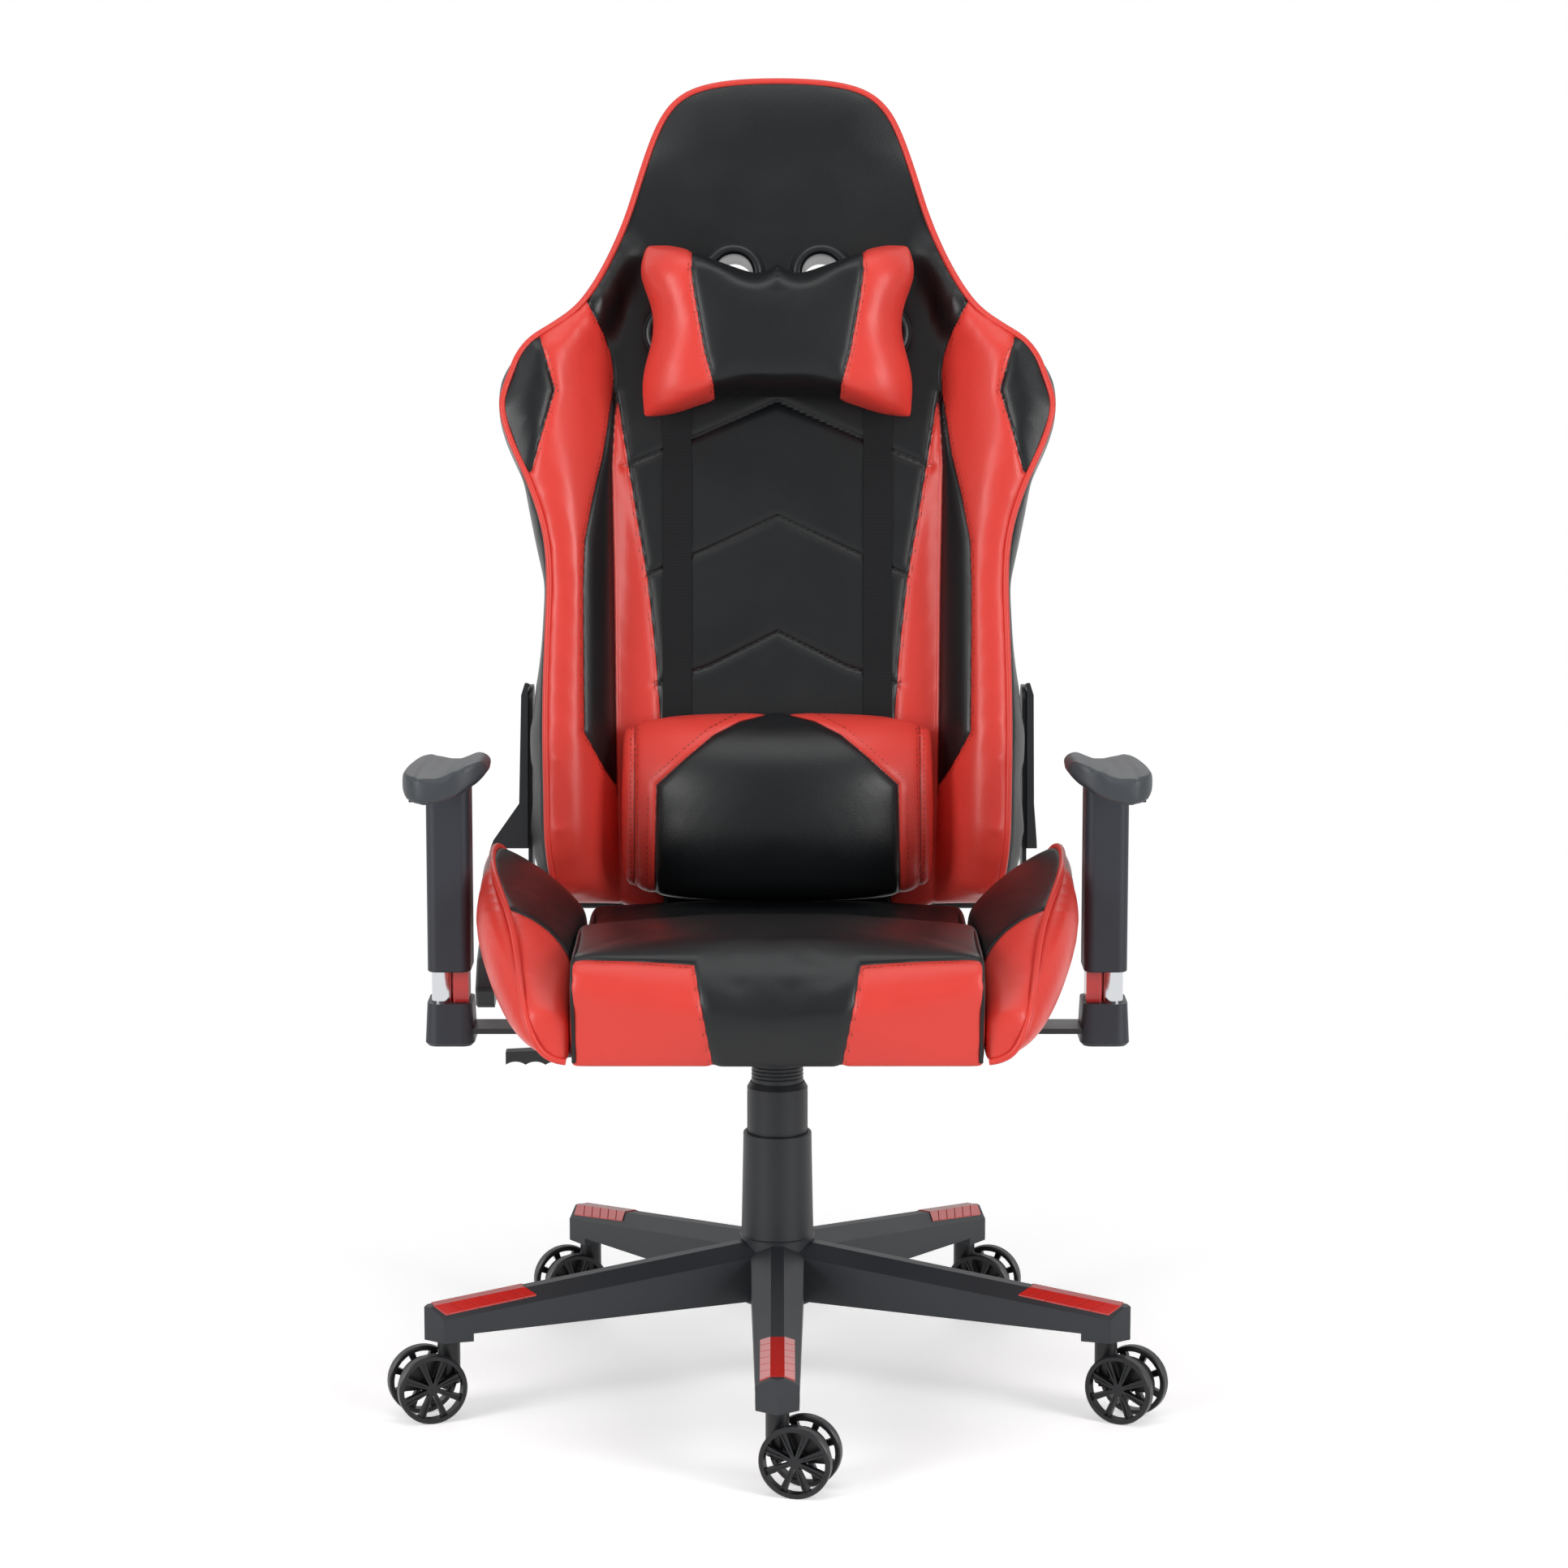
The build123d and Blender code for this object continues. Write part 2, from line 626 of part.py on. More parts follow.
with BuildPart() as gas_cylinder:
    with BuildSketch(Plane.XZ):
        with BuildLine():
            Polyline(
                (ROD_R + RUN_FIT, GAS_Z), (GAS_R, GAS_Z), (GAS_R, MECH_Z), (GAS_R - GAS_TAPER, GAS_TOP_Z),
                (BUTTON_D / 2 + RUN_FIT, GAS_TOP_Z), (BUTTON_D / 2 + RUN_FIT, GAS_TOP_Z - BUTTON_H),
                (0, GAS_TOP_Z - BUTTON_H), (0, MECH_Z + 4), (GAS_R - GAS_WALL, MECH_Z + 4),
                (GAS_R - GAS_WALL, GAS_Z + GUIDE_H), (ROD_R + RUN_FIT, GAS_Z + GUIDE_H),
                close=True,
            )
        make_face()
    revolve(axis=Axis.Z)
gas_cylinder.part.label = "gas_cylinder"
export_step(gas_cylinder.part, "parts/gas_cylinder.step")

# telescopic cover: foot stage on the base
COVER_R = COVER_LOWER_D / 2
MID_R = COVER_MID_D / 2
TOP_R = COVER_TOP_D / 2
with BuildPart() as cover_lower:
    with BuildSketch(Plane.XZ):
        with BuildLine():
            Polyline(
                (COVER_FOOT_D / 2 - COVER_WALL, HUB_Z), (COVER_FLANGE_D / 2, HUB_Z),
                (COVER_FLANGE_D / 2, HUB_Z + 1.6), (COVER_FOOT_D / 2, HUB_Z + 2.4), (COVER_R, COVER_RIM_Z - 1),
                (COVER_R - 0.8, COVER_RIM_Z), (MID_R + COVER_LIP, COVER_RIM_Z),
                (MID_R + COVER_LIP, COVER_RIM_Z - 5), (COVER_R - COVER_WALL, COVER_RIM_Z - 8),
                close=True,
            )
        make_face()
    revolve(axis=Axis.Z)
cover_lower.part.label = "cover_lower"
export_step(cover_lower.part, "parts/cover_lower.step")

# middle stage, with upright grooves on both flanks
MID_TOP_Z = COVER_RIM_Z + COVER_MID_SHOW
with BuildPart() as cover_middle:
    with BuildSketch(Plane.XZ):
        with BuildLine():
            Polyline(
                (MID_R - COVER_WALL, MID_TOP_Z - COVER_MID_H), (MID_R, MID_TOP_Z - COVER_MID_H),
                (MID_R, MID_TOP_Z - 5), (MID_R - 3, MID_TOP_Z), (TOP_R + COVER_LIP, MID_TOP_Z),
                (TOP_R + COVER_LIP, MID_TOP_Z - 5), (MID_R - COVER_WALL, MID_TOP_Z - 8),
                close=True,
            )
        make_face()
    revolve(axis=Axis.Z)
    with BuildSketch(Plane.XY.offset(MID_TOP_Z - 9)):
        for flank in (0, 180):
            with PolarLocations(MID_R, COVER_GROOVES, start_angle=flank - 12, angular_range=24, endpoint=True):
                Rectangle(COVER_GROOVE_D * 2, COVER_GROOVE_W)
    extrude(amount=-COVER_MID_H + 14, mode=Mode.SUBTRACT)
cover_middle.part.label = "cover_middle"
export_step(cover_middle.part, "parts/cover_middle.step")

# top stage, hung from the mechanism, ringed like a bellows
with BuildPart() as cover_upper:
    top_low_z = MID_TOP_Z - COVER_TOP_OVERLAP
    with BuildSketch(Plane.XZ):
        with Locations((TOP_R - COVER_TOP_WALL / 2, (top_low_z + MECH_Z) / 2)):
            Rectangle(COVER_TOP_WALL, MECH_Z - top_low_z)
        for rib in range(COVER_RIBS):
            with Locations((TOP_R, MECH_Z - COVER_RIB_PITCH * (rib + 0.5))):
                Polygon((0, -1.2), (-COVER_TOP_WALL * 0.6, 0), (0, 1.2), align=None, mode=Mode.SUBTRACT)
        with Locations(((TOP_R + HUB_SOCKET_D / 2) / 2 - 1, MECH_Z - 1)):
            Rectangle(TOP_R - HUB_SOCKET_D / 2 + 2, 2)
    revolve(axis=Axis.Z)
cover_upper.part.label = "cover_upper"
export_step(cover_upper.part, "parts/cover_upper.step")

with BuildPart() as gas_button:
    with BuildSketch(Plane.XY.offset(GAS_TOP_Z - BUTTON_H + BUTTON_TRAVEL)):
        Circle(BUTTON_D / 2)
    extrude(amount=BUTTON_H)
gas_button.part.label = "gas_button"
export_step(gas_button.part, "parts/gas_button.step")

# ------------------------------------------------------------ tilt mechanism

ROD_Z = GAS_TOP_Z + 1     # height lever's axis in the housing
TONGUE_Z = GAS_TOP_Z + BUTTON_TRAVEL + SEAT_FIT
ROCKER_PIN_Z = ROD_Z + LEVER_D / 2 + 3.5
HOUSING_IN = HOUSING_W / 2 - HOUSING_T
EAR_Y = ROCKER_W / 2 + SEAT_FIT

# pressed steel tray that carries the column socket, the axle and the springs
with BuildPart() as mechanism_housing:
    with BuildSketch(Plane.YZ):
        with BuildLine():
            Polyline(
                (-HOUSING_FRONT, HOUSING_Z), (HOUSING_REAR, HOUSING_Z), (HOUSING_REAR, HOUSING_Z + 8),
                (TILT_AXLE_Y + 16, TILT_AXLE_Z + 9), (TILT_AXLE_Y - 12, TILT_AXLE_Z + 9),
                (-HOUSING_FRONT, TILT_AXLE_Z - 1),
                close=True,
            )
        make_face()
    extrude(amount=HOUSING_W / 2, both=True)
    with BuildSketch(Plane.XY.offset(HOUSING_Z + HOUSING_T)):
        with Locations((0, (HOUSING_REAR - HOUSING_FRONT) / 2)):
            RectangleRounded(HOUSING_W - 2 * HOUSING_T, HOUSING_FRONT + HOUSING_REAR - 2 * HOUSING_T, 6)
    extrude(amount=MECHANISM_H, mode=Mode.SUBTRACT)
    # socket of the column
    with BuildSketch(Plane.XY.offset(MECH_Z)):
        Circle(HUB_SOCKET_D / 2)
    extrude(amount=GAS_TAPER_L - 2)
    # ears of the release rocker
    with BuildSketch(Plane.XY.offset(HOUSING_Z + HOUSING_T)):
        with Locations((-ROCKER_X, EAR_Y + EAR_T / 2), (-ROCKER_X, -EAR_Y - EAR_T / 2)):
            Rectangle(9, EAR_T)
    extrude(amount=ROCKER_PIN_Z + 4 - HOUSING_Z - HOUSING_T)
    with BuildSketch(Plane.XZ):
        with BuildLine():
            Polyline(
                (0, MECH_Z - 1), (GAS_R + PRESS_FIT, MECH_Z - 1), (GAS_R + PRESS_FIT, MECH_Z),
                (GAS_R - GAS_TAPER + PRESS_FIT, GAS_TOP_Z), (GAS_R - GAS_TAPER + PRESS_FIT, GAS_TOP_Z + 20),
                (0, GAS_TOP_Z + 20),
                close=True,
            )
        make_face()
    revolve(axis=Axis.Z, mode=Mode.SUBTRACT)
    with BuildSketch(Plane.XZ):
        with Locations((-ROCKER_X, ROCKER_PIN_Z)):
            Circle(ROCKER_PIN_D / 2 + RUN_FIT)
    extrude(amount=EAR_Y + EAR_T + 1, both=True, mode=Mode.SUBTRACT)
    with BuildSketch(Plane.YZ):
        with Locations((TILT_AXLE_Y, TILT_AXLE_Z)):
            Circle(TILT_AXLE_D / 2 + PRESS_FIT)
    extrude(amount=HOUSING_W, both=True, mode=Mode.SUBTRACT)
    # slot for the height lever, and the tension bolt's hole
    with BuildSketch(Plane.YZ):
        with Locations((0, ROD_Z)):
            SlotOverall(LEVER_D + 8, LEVER_D + 3, rotation=90)
    extrude(amount=-HOUSING_W, mode=Mode.SUBTRACT)
    with BuildSketch(Plane.XZ.offset(HOUSING_FRONT / 2)):
        with Locations((0, BOLT_Z)):
            Circle(BOLT_D / 2 + RUN_FIT)
    extrude(amount=HOUSING_FRONT, mode=Mode.SUBTRACT)
mechanism_housing.part.label = "mechanism_housing"
export_step(mechanism_housing.part, "parts/mechanism_housing.step")

LUG_X = HOUSING_W / 2 + SEAT_FIT + PLATE_T
with BuildPart() as tilt_axle:
    with BuildSketch(Plane.YZ):
        with Locations((TILT_AXLE_Y, TILT_AXLE_Z)):
            Circle(TILT_AXLE_D / 2)
    extrude(amount=LUG_X + 3, both=True)
    for side in (-1, 1):
        with BuildSketch(Plane.YZ.offset(side * (LUG_X + SEAT_FIT))):
            with Locations((TILT_AXLE_Y, TILT_AXLE_Z)):
                Circle(TILT_AXLE_D / 2 + 2.5)
        extrude(amount=side * 3)
tilt_axle.part.label = "tilt_axle"
export_step(tilt_axle.part, "parts/tilt_axle.step")

# rubber springs squeezed between the tray and the seat plate
BUFFER_Z = HOUSING_Z + HOUSING_T
with BuildPart() as tilt_springs:
    for side in (-1, 1):
        with BuildSketch(Plane(origin=(side * BUFFER_X, BUFFER_Y, 0), z_dir=(0, -1, 0), x_dir=(1, 0, 0))):
            with BuildLine():
                Polyline(
                    (0, BUFFER_Z), (BUFFER_D / 2 - 2, BUFFER_Z), (BUFFER_D / 2, BUFFER_Z + 8),
                    (BUFFER_D / 2 - 3, (BUFFER_Z + PLATE_Z) / 2), (BUFFER_D / 2, PLATE_Z - 8),
                    (BUFFER_D / 2 - 2, PLATE_Z - SEAT_FIT), (0, PLATE_Z - SEAT_FIT),
                    close=True,
                )
            make_face()
        revolve(axis=Axis((side * BUFFER_X, BUFFER_Y, 0), (0, 0, 1)))
tilt_springs.part.label = "tilt_springs"
export_step(tilt_springs.part, "parts/tilt_springs.step")

# fluted tension knob on its bolt, at the front of the tray
with BuildPart() as tension_knob:
    with BuildSketch(Plane.XZ.offset(HOUSING_FRONT + SEAT_FIT)):
        with Locations((0, BOLT_Z)):
            Circle(KNOB_D / 2)
            with PolarLocations(KNOB_D / 2 + 1.5, KNOB_FLUTES):
                Circle(3.2, mode=Mode.SUBTRACT)
    extrude(amount=KNOB_L)
    chamfer(tension_knob.faces().sort_by(Axis.Y)[0].edges(), length=1.5)
    with BuildSketch(Plane.XZ.offset(HUB_SOCKET_D / 2 + 4)):
        with Locations((0, BOLT_Z)):
            Circle(BOLT_D / 2)
    extrude(amount=HOUSING_FRONT - HUB_SOCKET_D / 2)
tension_knob.part.label = "tension_knob"
export_step(tension_knob.part, "parts/tension_knob.step")

# rocker that turns the lever's lift into a push on the gas button
with BuildPart() as release_rocker:
    with BuildSketch(Plane.XZ):
        Polygon(
            (-HOUSING_IN + 2, ROD_Z - LEVER_D / 2 - 3), (-ROCKER_X + 10, ROD_Z - LEVER_D / 2 - 3),
            (-ROCKER_X + 10, TONGUE_Z), (1, TONGUE_Z), (1, TONGUE_Z + 4),
            (-ROCKER_X + 10, ROCKER_PIN_Z + 4), (-HOUSING_IN + 2, ROCKER_PIN_Z + 4),
            align=None,
        )
    extrude(amount=ROCKER_W / 2, both=True)
    with BuildSketch(Plane.YZ.offset(-HOUSING_W)):
        with Locations((0, ROD_Z)):
            Circle(LEVER_D / 2 + RUN_FIT)
    extrude(amount=HOUSING_W - ROCKER_X + 11, mode=Mode.SUBTRACT)
    with BuildSketch(Plane.XZ):
        with Locations((-ROCKER_X, ROCKER_PIN_Z)):
            Circle(ROCKER_PIN_D / 2)
    extrude(amount=EAR_Y + EAR_T, both=True)
release_rocker.part.label = "release_rocker"
export_step(release_rocker.part, "parts/release_rocker.step")

# height lever: bent rod with a moulded finger grip
GRIP_Z = ROD_Z - LEVER_DROP
with BuildPart() as height_lever:
    with BuildLine() as lever_line:
        FilletPolyline(
            (-ROCKER_X + 6, 0, ROD_Z), (-LEVER_BEND_X, 0, ROD_Z), (-LEVER_BEND_X - 45, 0, GRIP_Z + 6),
            (-LEVER_REACH + 20, 0, GRIP_Z),
            radius=14,
        )
    with BuildSketch(Plane(origin=lever_line.line @ 0, z_dir=lever_line.line % 0)):
        Circle(LEVER_D / 2)
    sweep()
    with BuildSketch(Plane.XZ):
        with BuildLine():
            Polyline(
                (-LEVER_REACH, GRIP_Z + 5), (-LEVER_REACH + GRIP_L, GRIP_Z + 8),
                (-LEVER_REACH + GRIP_L, GRIP_Z - 7),
            )
            for finger in range(GRIP_FINGERS):
                right = -LEVER_REACH + GRIP_L - finger * GRIP_L / GRIP_FINGERS
                left = right - GRIP_L / GRIP_FINGERS
                ThreePointArc((right, GRIP_Z - 7), ((left + right) / 2, GRIP_Z - 4), (left, GRIP_Z - 7))
            Line((-LEVER_REACH, GRIP_Z - 7), (-LEVER_REACH, GRIP_Z + 5))
        make_face()
    extrude(amount=GRIP_W / 2, both=True)
height_lever.part.label = "height_lever"
export_step(height_lever.part, "parts/height_lever.step")

# ------------------------------------------------------------ seat frame

# pressed plate that rocks on the tilt axle
with BuildPart() as seat_plate:
    with BuildSketch(Plane.XY.offset(PLATE_Z)):
        with Locations((0, (PLATE_REAR - PLATE_FRONT) / 2)):
            RectangleRounded(PLATE_W, PLATE_FRONT + PLATE_REAR, 12)
        with Locations((-8, 0)):
            RectangleRounded(56, 48, 10, mode=Mode.SUBTRACT)
        for hole_y in (-RAIL_Y_FRONT, RAIL_Y_REAR):
            with Locations((-PLATE_HOLE_X, hole_y), (PLATE_HOLE_X, hole_y)):
                SlotOverall(18, PLATE_HOLE_D, rotation=90, mode=Mode.SUBTRACT)
    extrude(amount=PLATE_T)
    for side in (-1, 1):
        with BuildSketch(Plane.YZ.offset(side * (HOUSING_W / 2 + SEAT_FIT))):
            with BuildLine():
                Polyline(
                    (TILT_AXLE_Y - LUG_L / 2, PLATE_Z), (TILT_AXLE_Y - LUG_L / 2 + 8, TILT_AXLE_Z - 11),
                    (TILT_AXLE_Y + LUG_L / 2 - 8, TILT_AXLE_Z - 11), (TILT_AXLE_Y + LUG_L / 2, PLATE_Z),
                    close=True,
                )
            make_face()
            with Locations((TILT_AXLE_Y, TILT_AXLE_Z)):
                Circle(TILT_AXLE_D / 2 + RUN_FIT, mode=Mode.SUBTRACT)
        extrude(amount=side * PLATE_T)
seat_plate.part.label = "seat_plate"
export_step(seat_plate.part, "parts/seat_plate.step")

# welded tube frame with two flat rails, and stubs that reach the recliners
REAR_BAR_Y = FRAME_REAR + FRAME_TUBE_W / 2
with BuildPart() as seat_frame:
    with BuildSketch(Plane.XY.offset(FRAME_Z)):
        with Locations((0, (FRAME_REAR - FRAME_FRONT) / 2)):
            RectangleRounded(2 * FRAME_HALF_W, FRAME_FRONT + FRAME_REAR, 26)
            RectangleRounded(
                2 * (FRAME_HALF_W - FRAME_TUBE_W), FRAME_FRONT + FRAME_REAR - 2 * FRAME_TUBE_W, 8, mode=Mode.SUBTRACT,
            )
    extrude(amount=FRAME_TUBE_H)
    with BuildSketch(Plane.XY.offset(FRAME_Z)):
        with Locations((0, REAR_BAR_Y)):
            Rectangle(2 * RECLINER_X, FRAME_TUBE_W)
    extrude(amount=FRAME_TUBE_H)
    with BuildSketch(Plane.XY.offset(PLATE_Z + PLATE_T)):
        with Locations((0, -RAIL_Y_FRONT), (0, RAIL_Y_REAR)):
            Rectangle(2 * FRAME_HALF_W - FRAME_TUBE_W, RAIL_W)
        for hole_y in (-RAIL_Y_FRONT, RAIL_Y_REAR):
            with Locations((-PLATE_HOLE_X, hole_y), (PLATE_HOLE_X, hole_y)):
                Circle(PLATE_HOLE_D / 2, mode=Mode.SUBTRACT)
    extrude(amount=RAIL_T)
    fillet(seat_frame.edges().filter_by(Axis.X).filter_by_position(Axis.Z, FRAME_Z - 1, FRAME_Z + 1), radius=2)
seat_frame.part.label = "seat_frame"
export_step(seat_frame.part, "parts/seat_frame.step")

# bolts that hold the seat frame on the plate
with BuildPart() as seat_bolts:
    bolt_spots = [(x, y) for x in (-PLATE_HOLE_X, PLATE_HOLE_X) for y in (-RAIL_Y_FRONT, RAIL_Y_REAR)]
    with BuildSketch(Plane.XY.offset(PLATE_Z - SEAT_BOLT_HEAD_H)):
        with Locations(*bolt_spots):
            RegularPolygon(SEAT_BOLT_HEAD_D / 2, 6)
    extrude(amount=SEAT_BOLT_HEAD_H - PRESS_FIT)
    with BuildSketch(Plane.XY.offset(PLATE_Z - SEAT_BOLT_HEAD_H)):
        with Locations(*bolt_spots):
            Circle(PLATE_HOLE_D / 2 - SEAT_FIT)
    extrude(amount=SEAT_BOLT_HEAD_H + PLATE_T + RAIL_T)
seat_bolts.part.label = "seat_bolts"
export_step(seat_bolts.part, "parts/seat_bolts.step")

# ------------------------------------------------------------ seat upholstery

CUSHION_X = SEAT_W / 2
LIP_IN_Y = -FRAME_FRONT - SOFT_GAP

with BuildPart() as seat_cushion:
    with BuildSketch(Plane.YZ):
        with BuildLine():
            Polyline(
                (-SEAT_FRONT + 10, SEAT_LIP_Z), (LIP_IN_Y, SEAT_LIP_Z), (LIP_IN_Y, CUSHION_Z),
                (SEAT_REAR, CUSHION_Z), (SEAT_REAR, SEAT_REAR_Z - 6),
            )
            Spline(
                (SEAT_REAR, SEAT_REAR_Z - 6), (SEAT_REAR - 40, SEAT_REAR_Z), (-90, SEAT_TOP_Z - 6),
                (-SEAT_FRONT + 30, SEAT_TOP_Z),
                tangents=((-0.6, 1), (-1, 0)),
            )
            ThreePointArc(
                (-SEAT_FRONT + 30, SEAT_TOP_Z), (-SEAT_FRONT + 9, SEAT_TOP_Z - 9),
                (-SEAT_FRONT, SEAT_TOP_Z - 30),
            )
            Line((-SEAT_FRONT, SEAT_TOP_Z - 30), (-SEAT_FRONT + 10, SEAT_LIP_Z))
        make_face()
    extrude(amount=CUSHION_X - SOFT_GAP / 2, both=True)
seat_cushion.part.label = "seat_cushion"
export_step(seat_cushion.part, "parts/seat_cushion.step")

# side bolsters: rounded triangles that lean out, low in front and full at the hips
BOLSTER_IN = CUSHION_X + SOFT_GAP / 2
with BuildPart() as bolster:
    # share of the length from the front, then reach, crest, inner edge, foot and belly of that section
    for share, out, top, inner_top, foot, belly in (
        (0.0, 0.44, 0.46, 0.38, 0.02, 0.92), (0.10, 0.64, 0.78, 0.66, 0.0, 0.92),
        (0.42, 0.97, 1.28, 0.90, 0.0, 0.80), (0.70, 1.0, 1.44, 0.86, 0.0, 0.76),
        (0.90, 0.93, 1.36, 0.74, 0.04, 0.78), (1.0, 0.72, 1.0, 0.56, 0.12, 0.80),
    ):
        y = blend(-SEAT_FRONT + 12, BOLSTER_REAR, share)
        reach = out * (BOLSTER_OUT - BOLSTER_IN)
        bottom, crest = SEAT_LIP_Z + foot * SEAT_FRONT_H + 2, SEAT_LIP_Z + top * SEAT_FRONT_H
        inner_z = SEAT_LIP_Z + inner_top * SEAT_FRONT_H
        with BuildSketch(Plane(origin=(0, y, 0), x_dir=(1, 0, 0), z_dir=(0, -1, 0))):
            with BuildLine():
                Spline(
                    (BOLSTER_IN, bottom), (BOLSTER_IN + (belly - 0.32) * reach, bottom + 9),
                    (BOLSTER_IN + belly * reach, blend(bottom, crest, 0.44)),
                    (BOLSTER_IN + reach, blend(bottom, crest, 0.80)), (BOLSTER_IN + 0.90 * reach, crest),
                )
                ThreePointArc(
                    (BOLSTER_IN + 0.90 * reach, crest),
                    (BOLSTER_IN + 0.44 * reach, blend(inner_z, crest, 0.5) + 0.07 * SEAT_FRONT_H),
                    (BOLSTER_IN, inner_z),
                )
                Line((BOLSTER_IN, inner_z), (BOLSTER_IN, bottom))
            make_face()
    loft()
for side, hand in ((1, "left"), (-1, "right")):
    with BuildPart() as seat_bolster:
        add(bolster.part)
        if side < 0:
            mirror(about=Plane.YZ, mode=Mode.REPLACE)
    seat_bolster.part.label = f"seat_bolster_{hand}"
    export_step(seat_bolster.part, f"parts/seat_bolster_{hand}.step")

# ------------------------------------------------------------ armrests

STRIP_Z = FRAME_Z - STRIP_DROP - STRIP_T
BOOT_Z = STRIP_Z - 11
POST_Z = STRIP_Z + STRIP_T
POST_X = ARM_X + 9        # steel post, outboard
RAIL_X = POST_X - POST_W / 2 - RAIL_BAR_W / 2 - SEAT_FIT
SLEEVE_X = (POST_X + POST_W / 2 + RAIL_X - RAIL_BAR_W / 2) / 2
SLEEVE_Z = BOOT_Z + BOOT_H + SLEEVE_DOWN + 2

# flat steel strips, cranked up to the underside of the seat frame
with BuildPart() as arm_brackets:
    with BuildSketch(Plane.XZ.offset(-ARM_Y)):
        with BuildLine():
            Polyline(
                (POST_X + POST_W / 2, STRIP_Z), (FRAME_HALF_W + 6, STRIP_Z),
                (FRAME_HALF_W - 12, FRAME_Z - STRIP_T),
                (STRIP_IN_X, FRAME_Z - STRIP_T), (STRIP_IN_X, FRAME_Z), (FRAME_HALF_W - 10, FRAME_Z),
                (FRAME_HALF_W + 8, STRIP_Z + STRIP_T), (POST_X + POST_W / 2, STRIP_Z + STRIP_T),
                close=True,
            )
        make_face()
    extrude(amount=STRIP_W / 2, both=True)
    mirror(about=Plane.YZ)
arm_brackets.part.label = "arm_brackets"
export_step(arm_brackets.part, "parts/arm_brackets.step")

# chromed flat-oval posts
with BuildPart() as arm_posts:
    with BuildSketch(Plane.XY.offset(POST_Z)):
        with Locations((POST_X, ARM_Y)):
            SlotOverall(POST_L, POST_W, rotation=90)
            SlotOverall(POST_L - 4, POST_W - 4, rotation=90, mode=Mode.SUBTRACT)
    extrude(amount=POST_H)
    mirror(about=Plane.YZ)
arm_posts.part.label = "arm_posts"
export_step(arm_posts.part, "parts/arm_posts.step")

# notched plastic rails that the height catch drops into
with BuildPart() as arm_rails:
    with BuildSketch(Plane.XZ.offset(-ARM_Y)):
        with Locations((RAIL_X, POST_Z + POST_H / 2 - 4)):
            Rectangle(RAIL_BAR_W, POST_H - 8)
        for notch in range(RAIL_NOTCHES):
            with Locations((RAIL_X - RAIL_BAR_W / 2, POST_Z + POST_H - 24 - notch * NOTCH_PITCH)):
                Rectangle(5, NOTCH_PITCH / 2, mode=Mode.SUBTRACT)
    extrude(amount=RAIL_BAR_L / 2, both=True)
    fillet(arm_rails.edges().filter_by(Axis.Z).sort_by(Axis.X)[-2:], radius=3)
    mirror(about=Plane.YZ)
arm_rails.part.label = "arm_rails"
export_step(arm_rails.part, "parts/arm_rails.step")

# tapered boots that close the feet of the posts round the strips
with BuildPart() as arm_boots:
    with BuildSketch(Plane.XY.offset(BOOT_Z)):
        with Locations((SLEEVE_X, ARM_Y)):
            RectangleRounded(BOOT_W, BOOT_L, 12)
    extrude(amount=BOOT_H, taper=3)
    chamfer(arm_boots.faces().sort_by(Axis.Z)[0].edges(), length=3)
    with BuildSketch(Plane.XY.offset(POST_Z)):
        with Locations((POST_X, ARM_Y)):
            SlotOverall(POST_L + 2 * SEAT_FIT, POST_W + 2 * PRESS_FIT, rotation=90)
        with Locations((RAIL_X, ARM_Y)):
            Rectangle(RAIL_BAR_W + 2 * PRESS_FIT, RAIL_BAR_L + 2 * SEAT_FIT)
    extrude(amount=BOOT_H, mode=Mode.SUBTRACT)
    with BuildSketch(Plane.XZ.offset(-ARM_Y)):
        with Locations((POST_X + POST_W / 2 + PRESS_FIT, STRIP_Z - PRESS_FIT)):
            Rectangle(BOOT_W * 2, STRIP_T + 2 * PRESS_FIT, align=(Align.MAX, Align.MIN))
    extrude(amount=STRIP_W / 2 + PRESS_FIT, both=True, mode=Mode.SUBTRACT)
    mirror(about=Plane.YZ)
arm_boots.part.label = "arm_boots"
export_step(arm_boots.part, "parts/arm_boots.step")

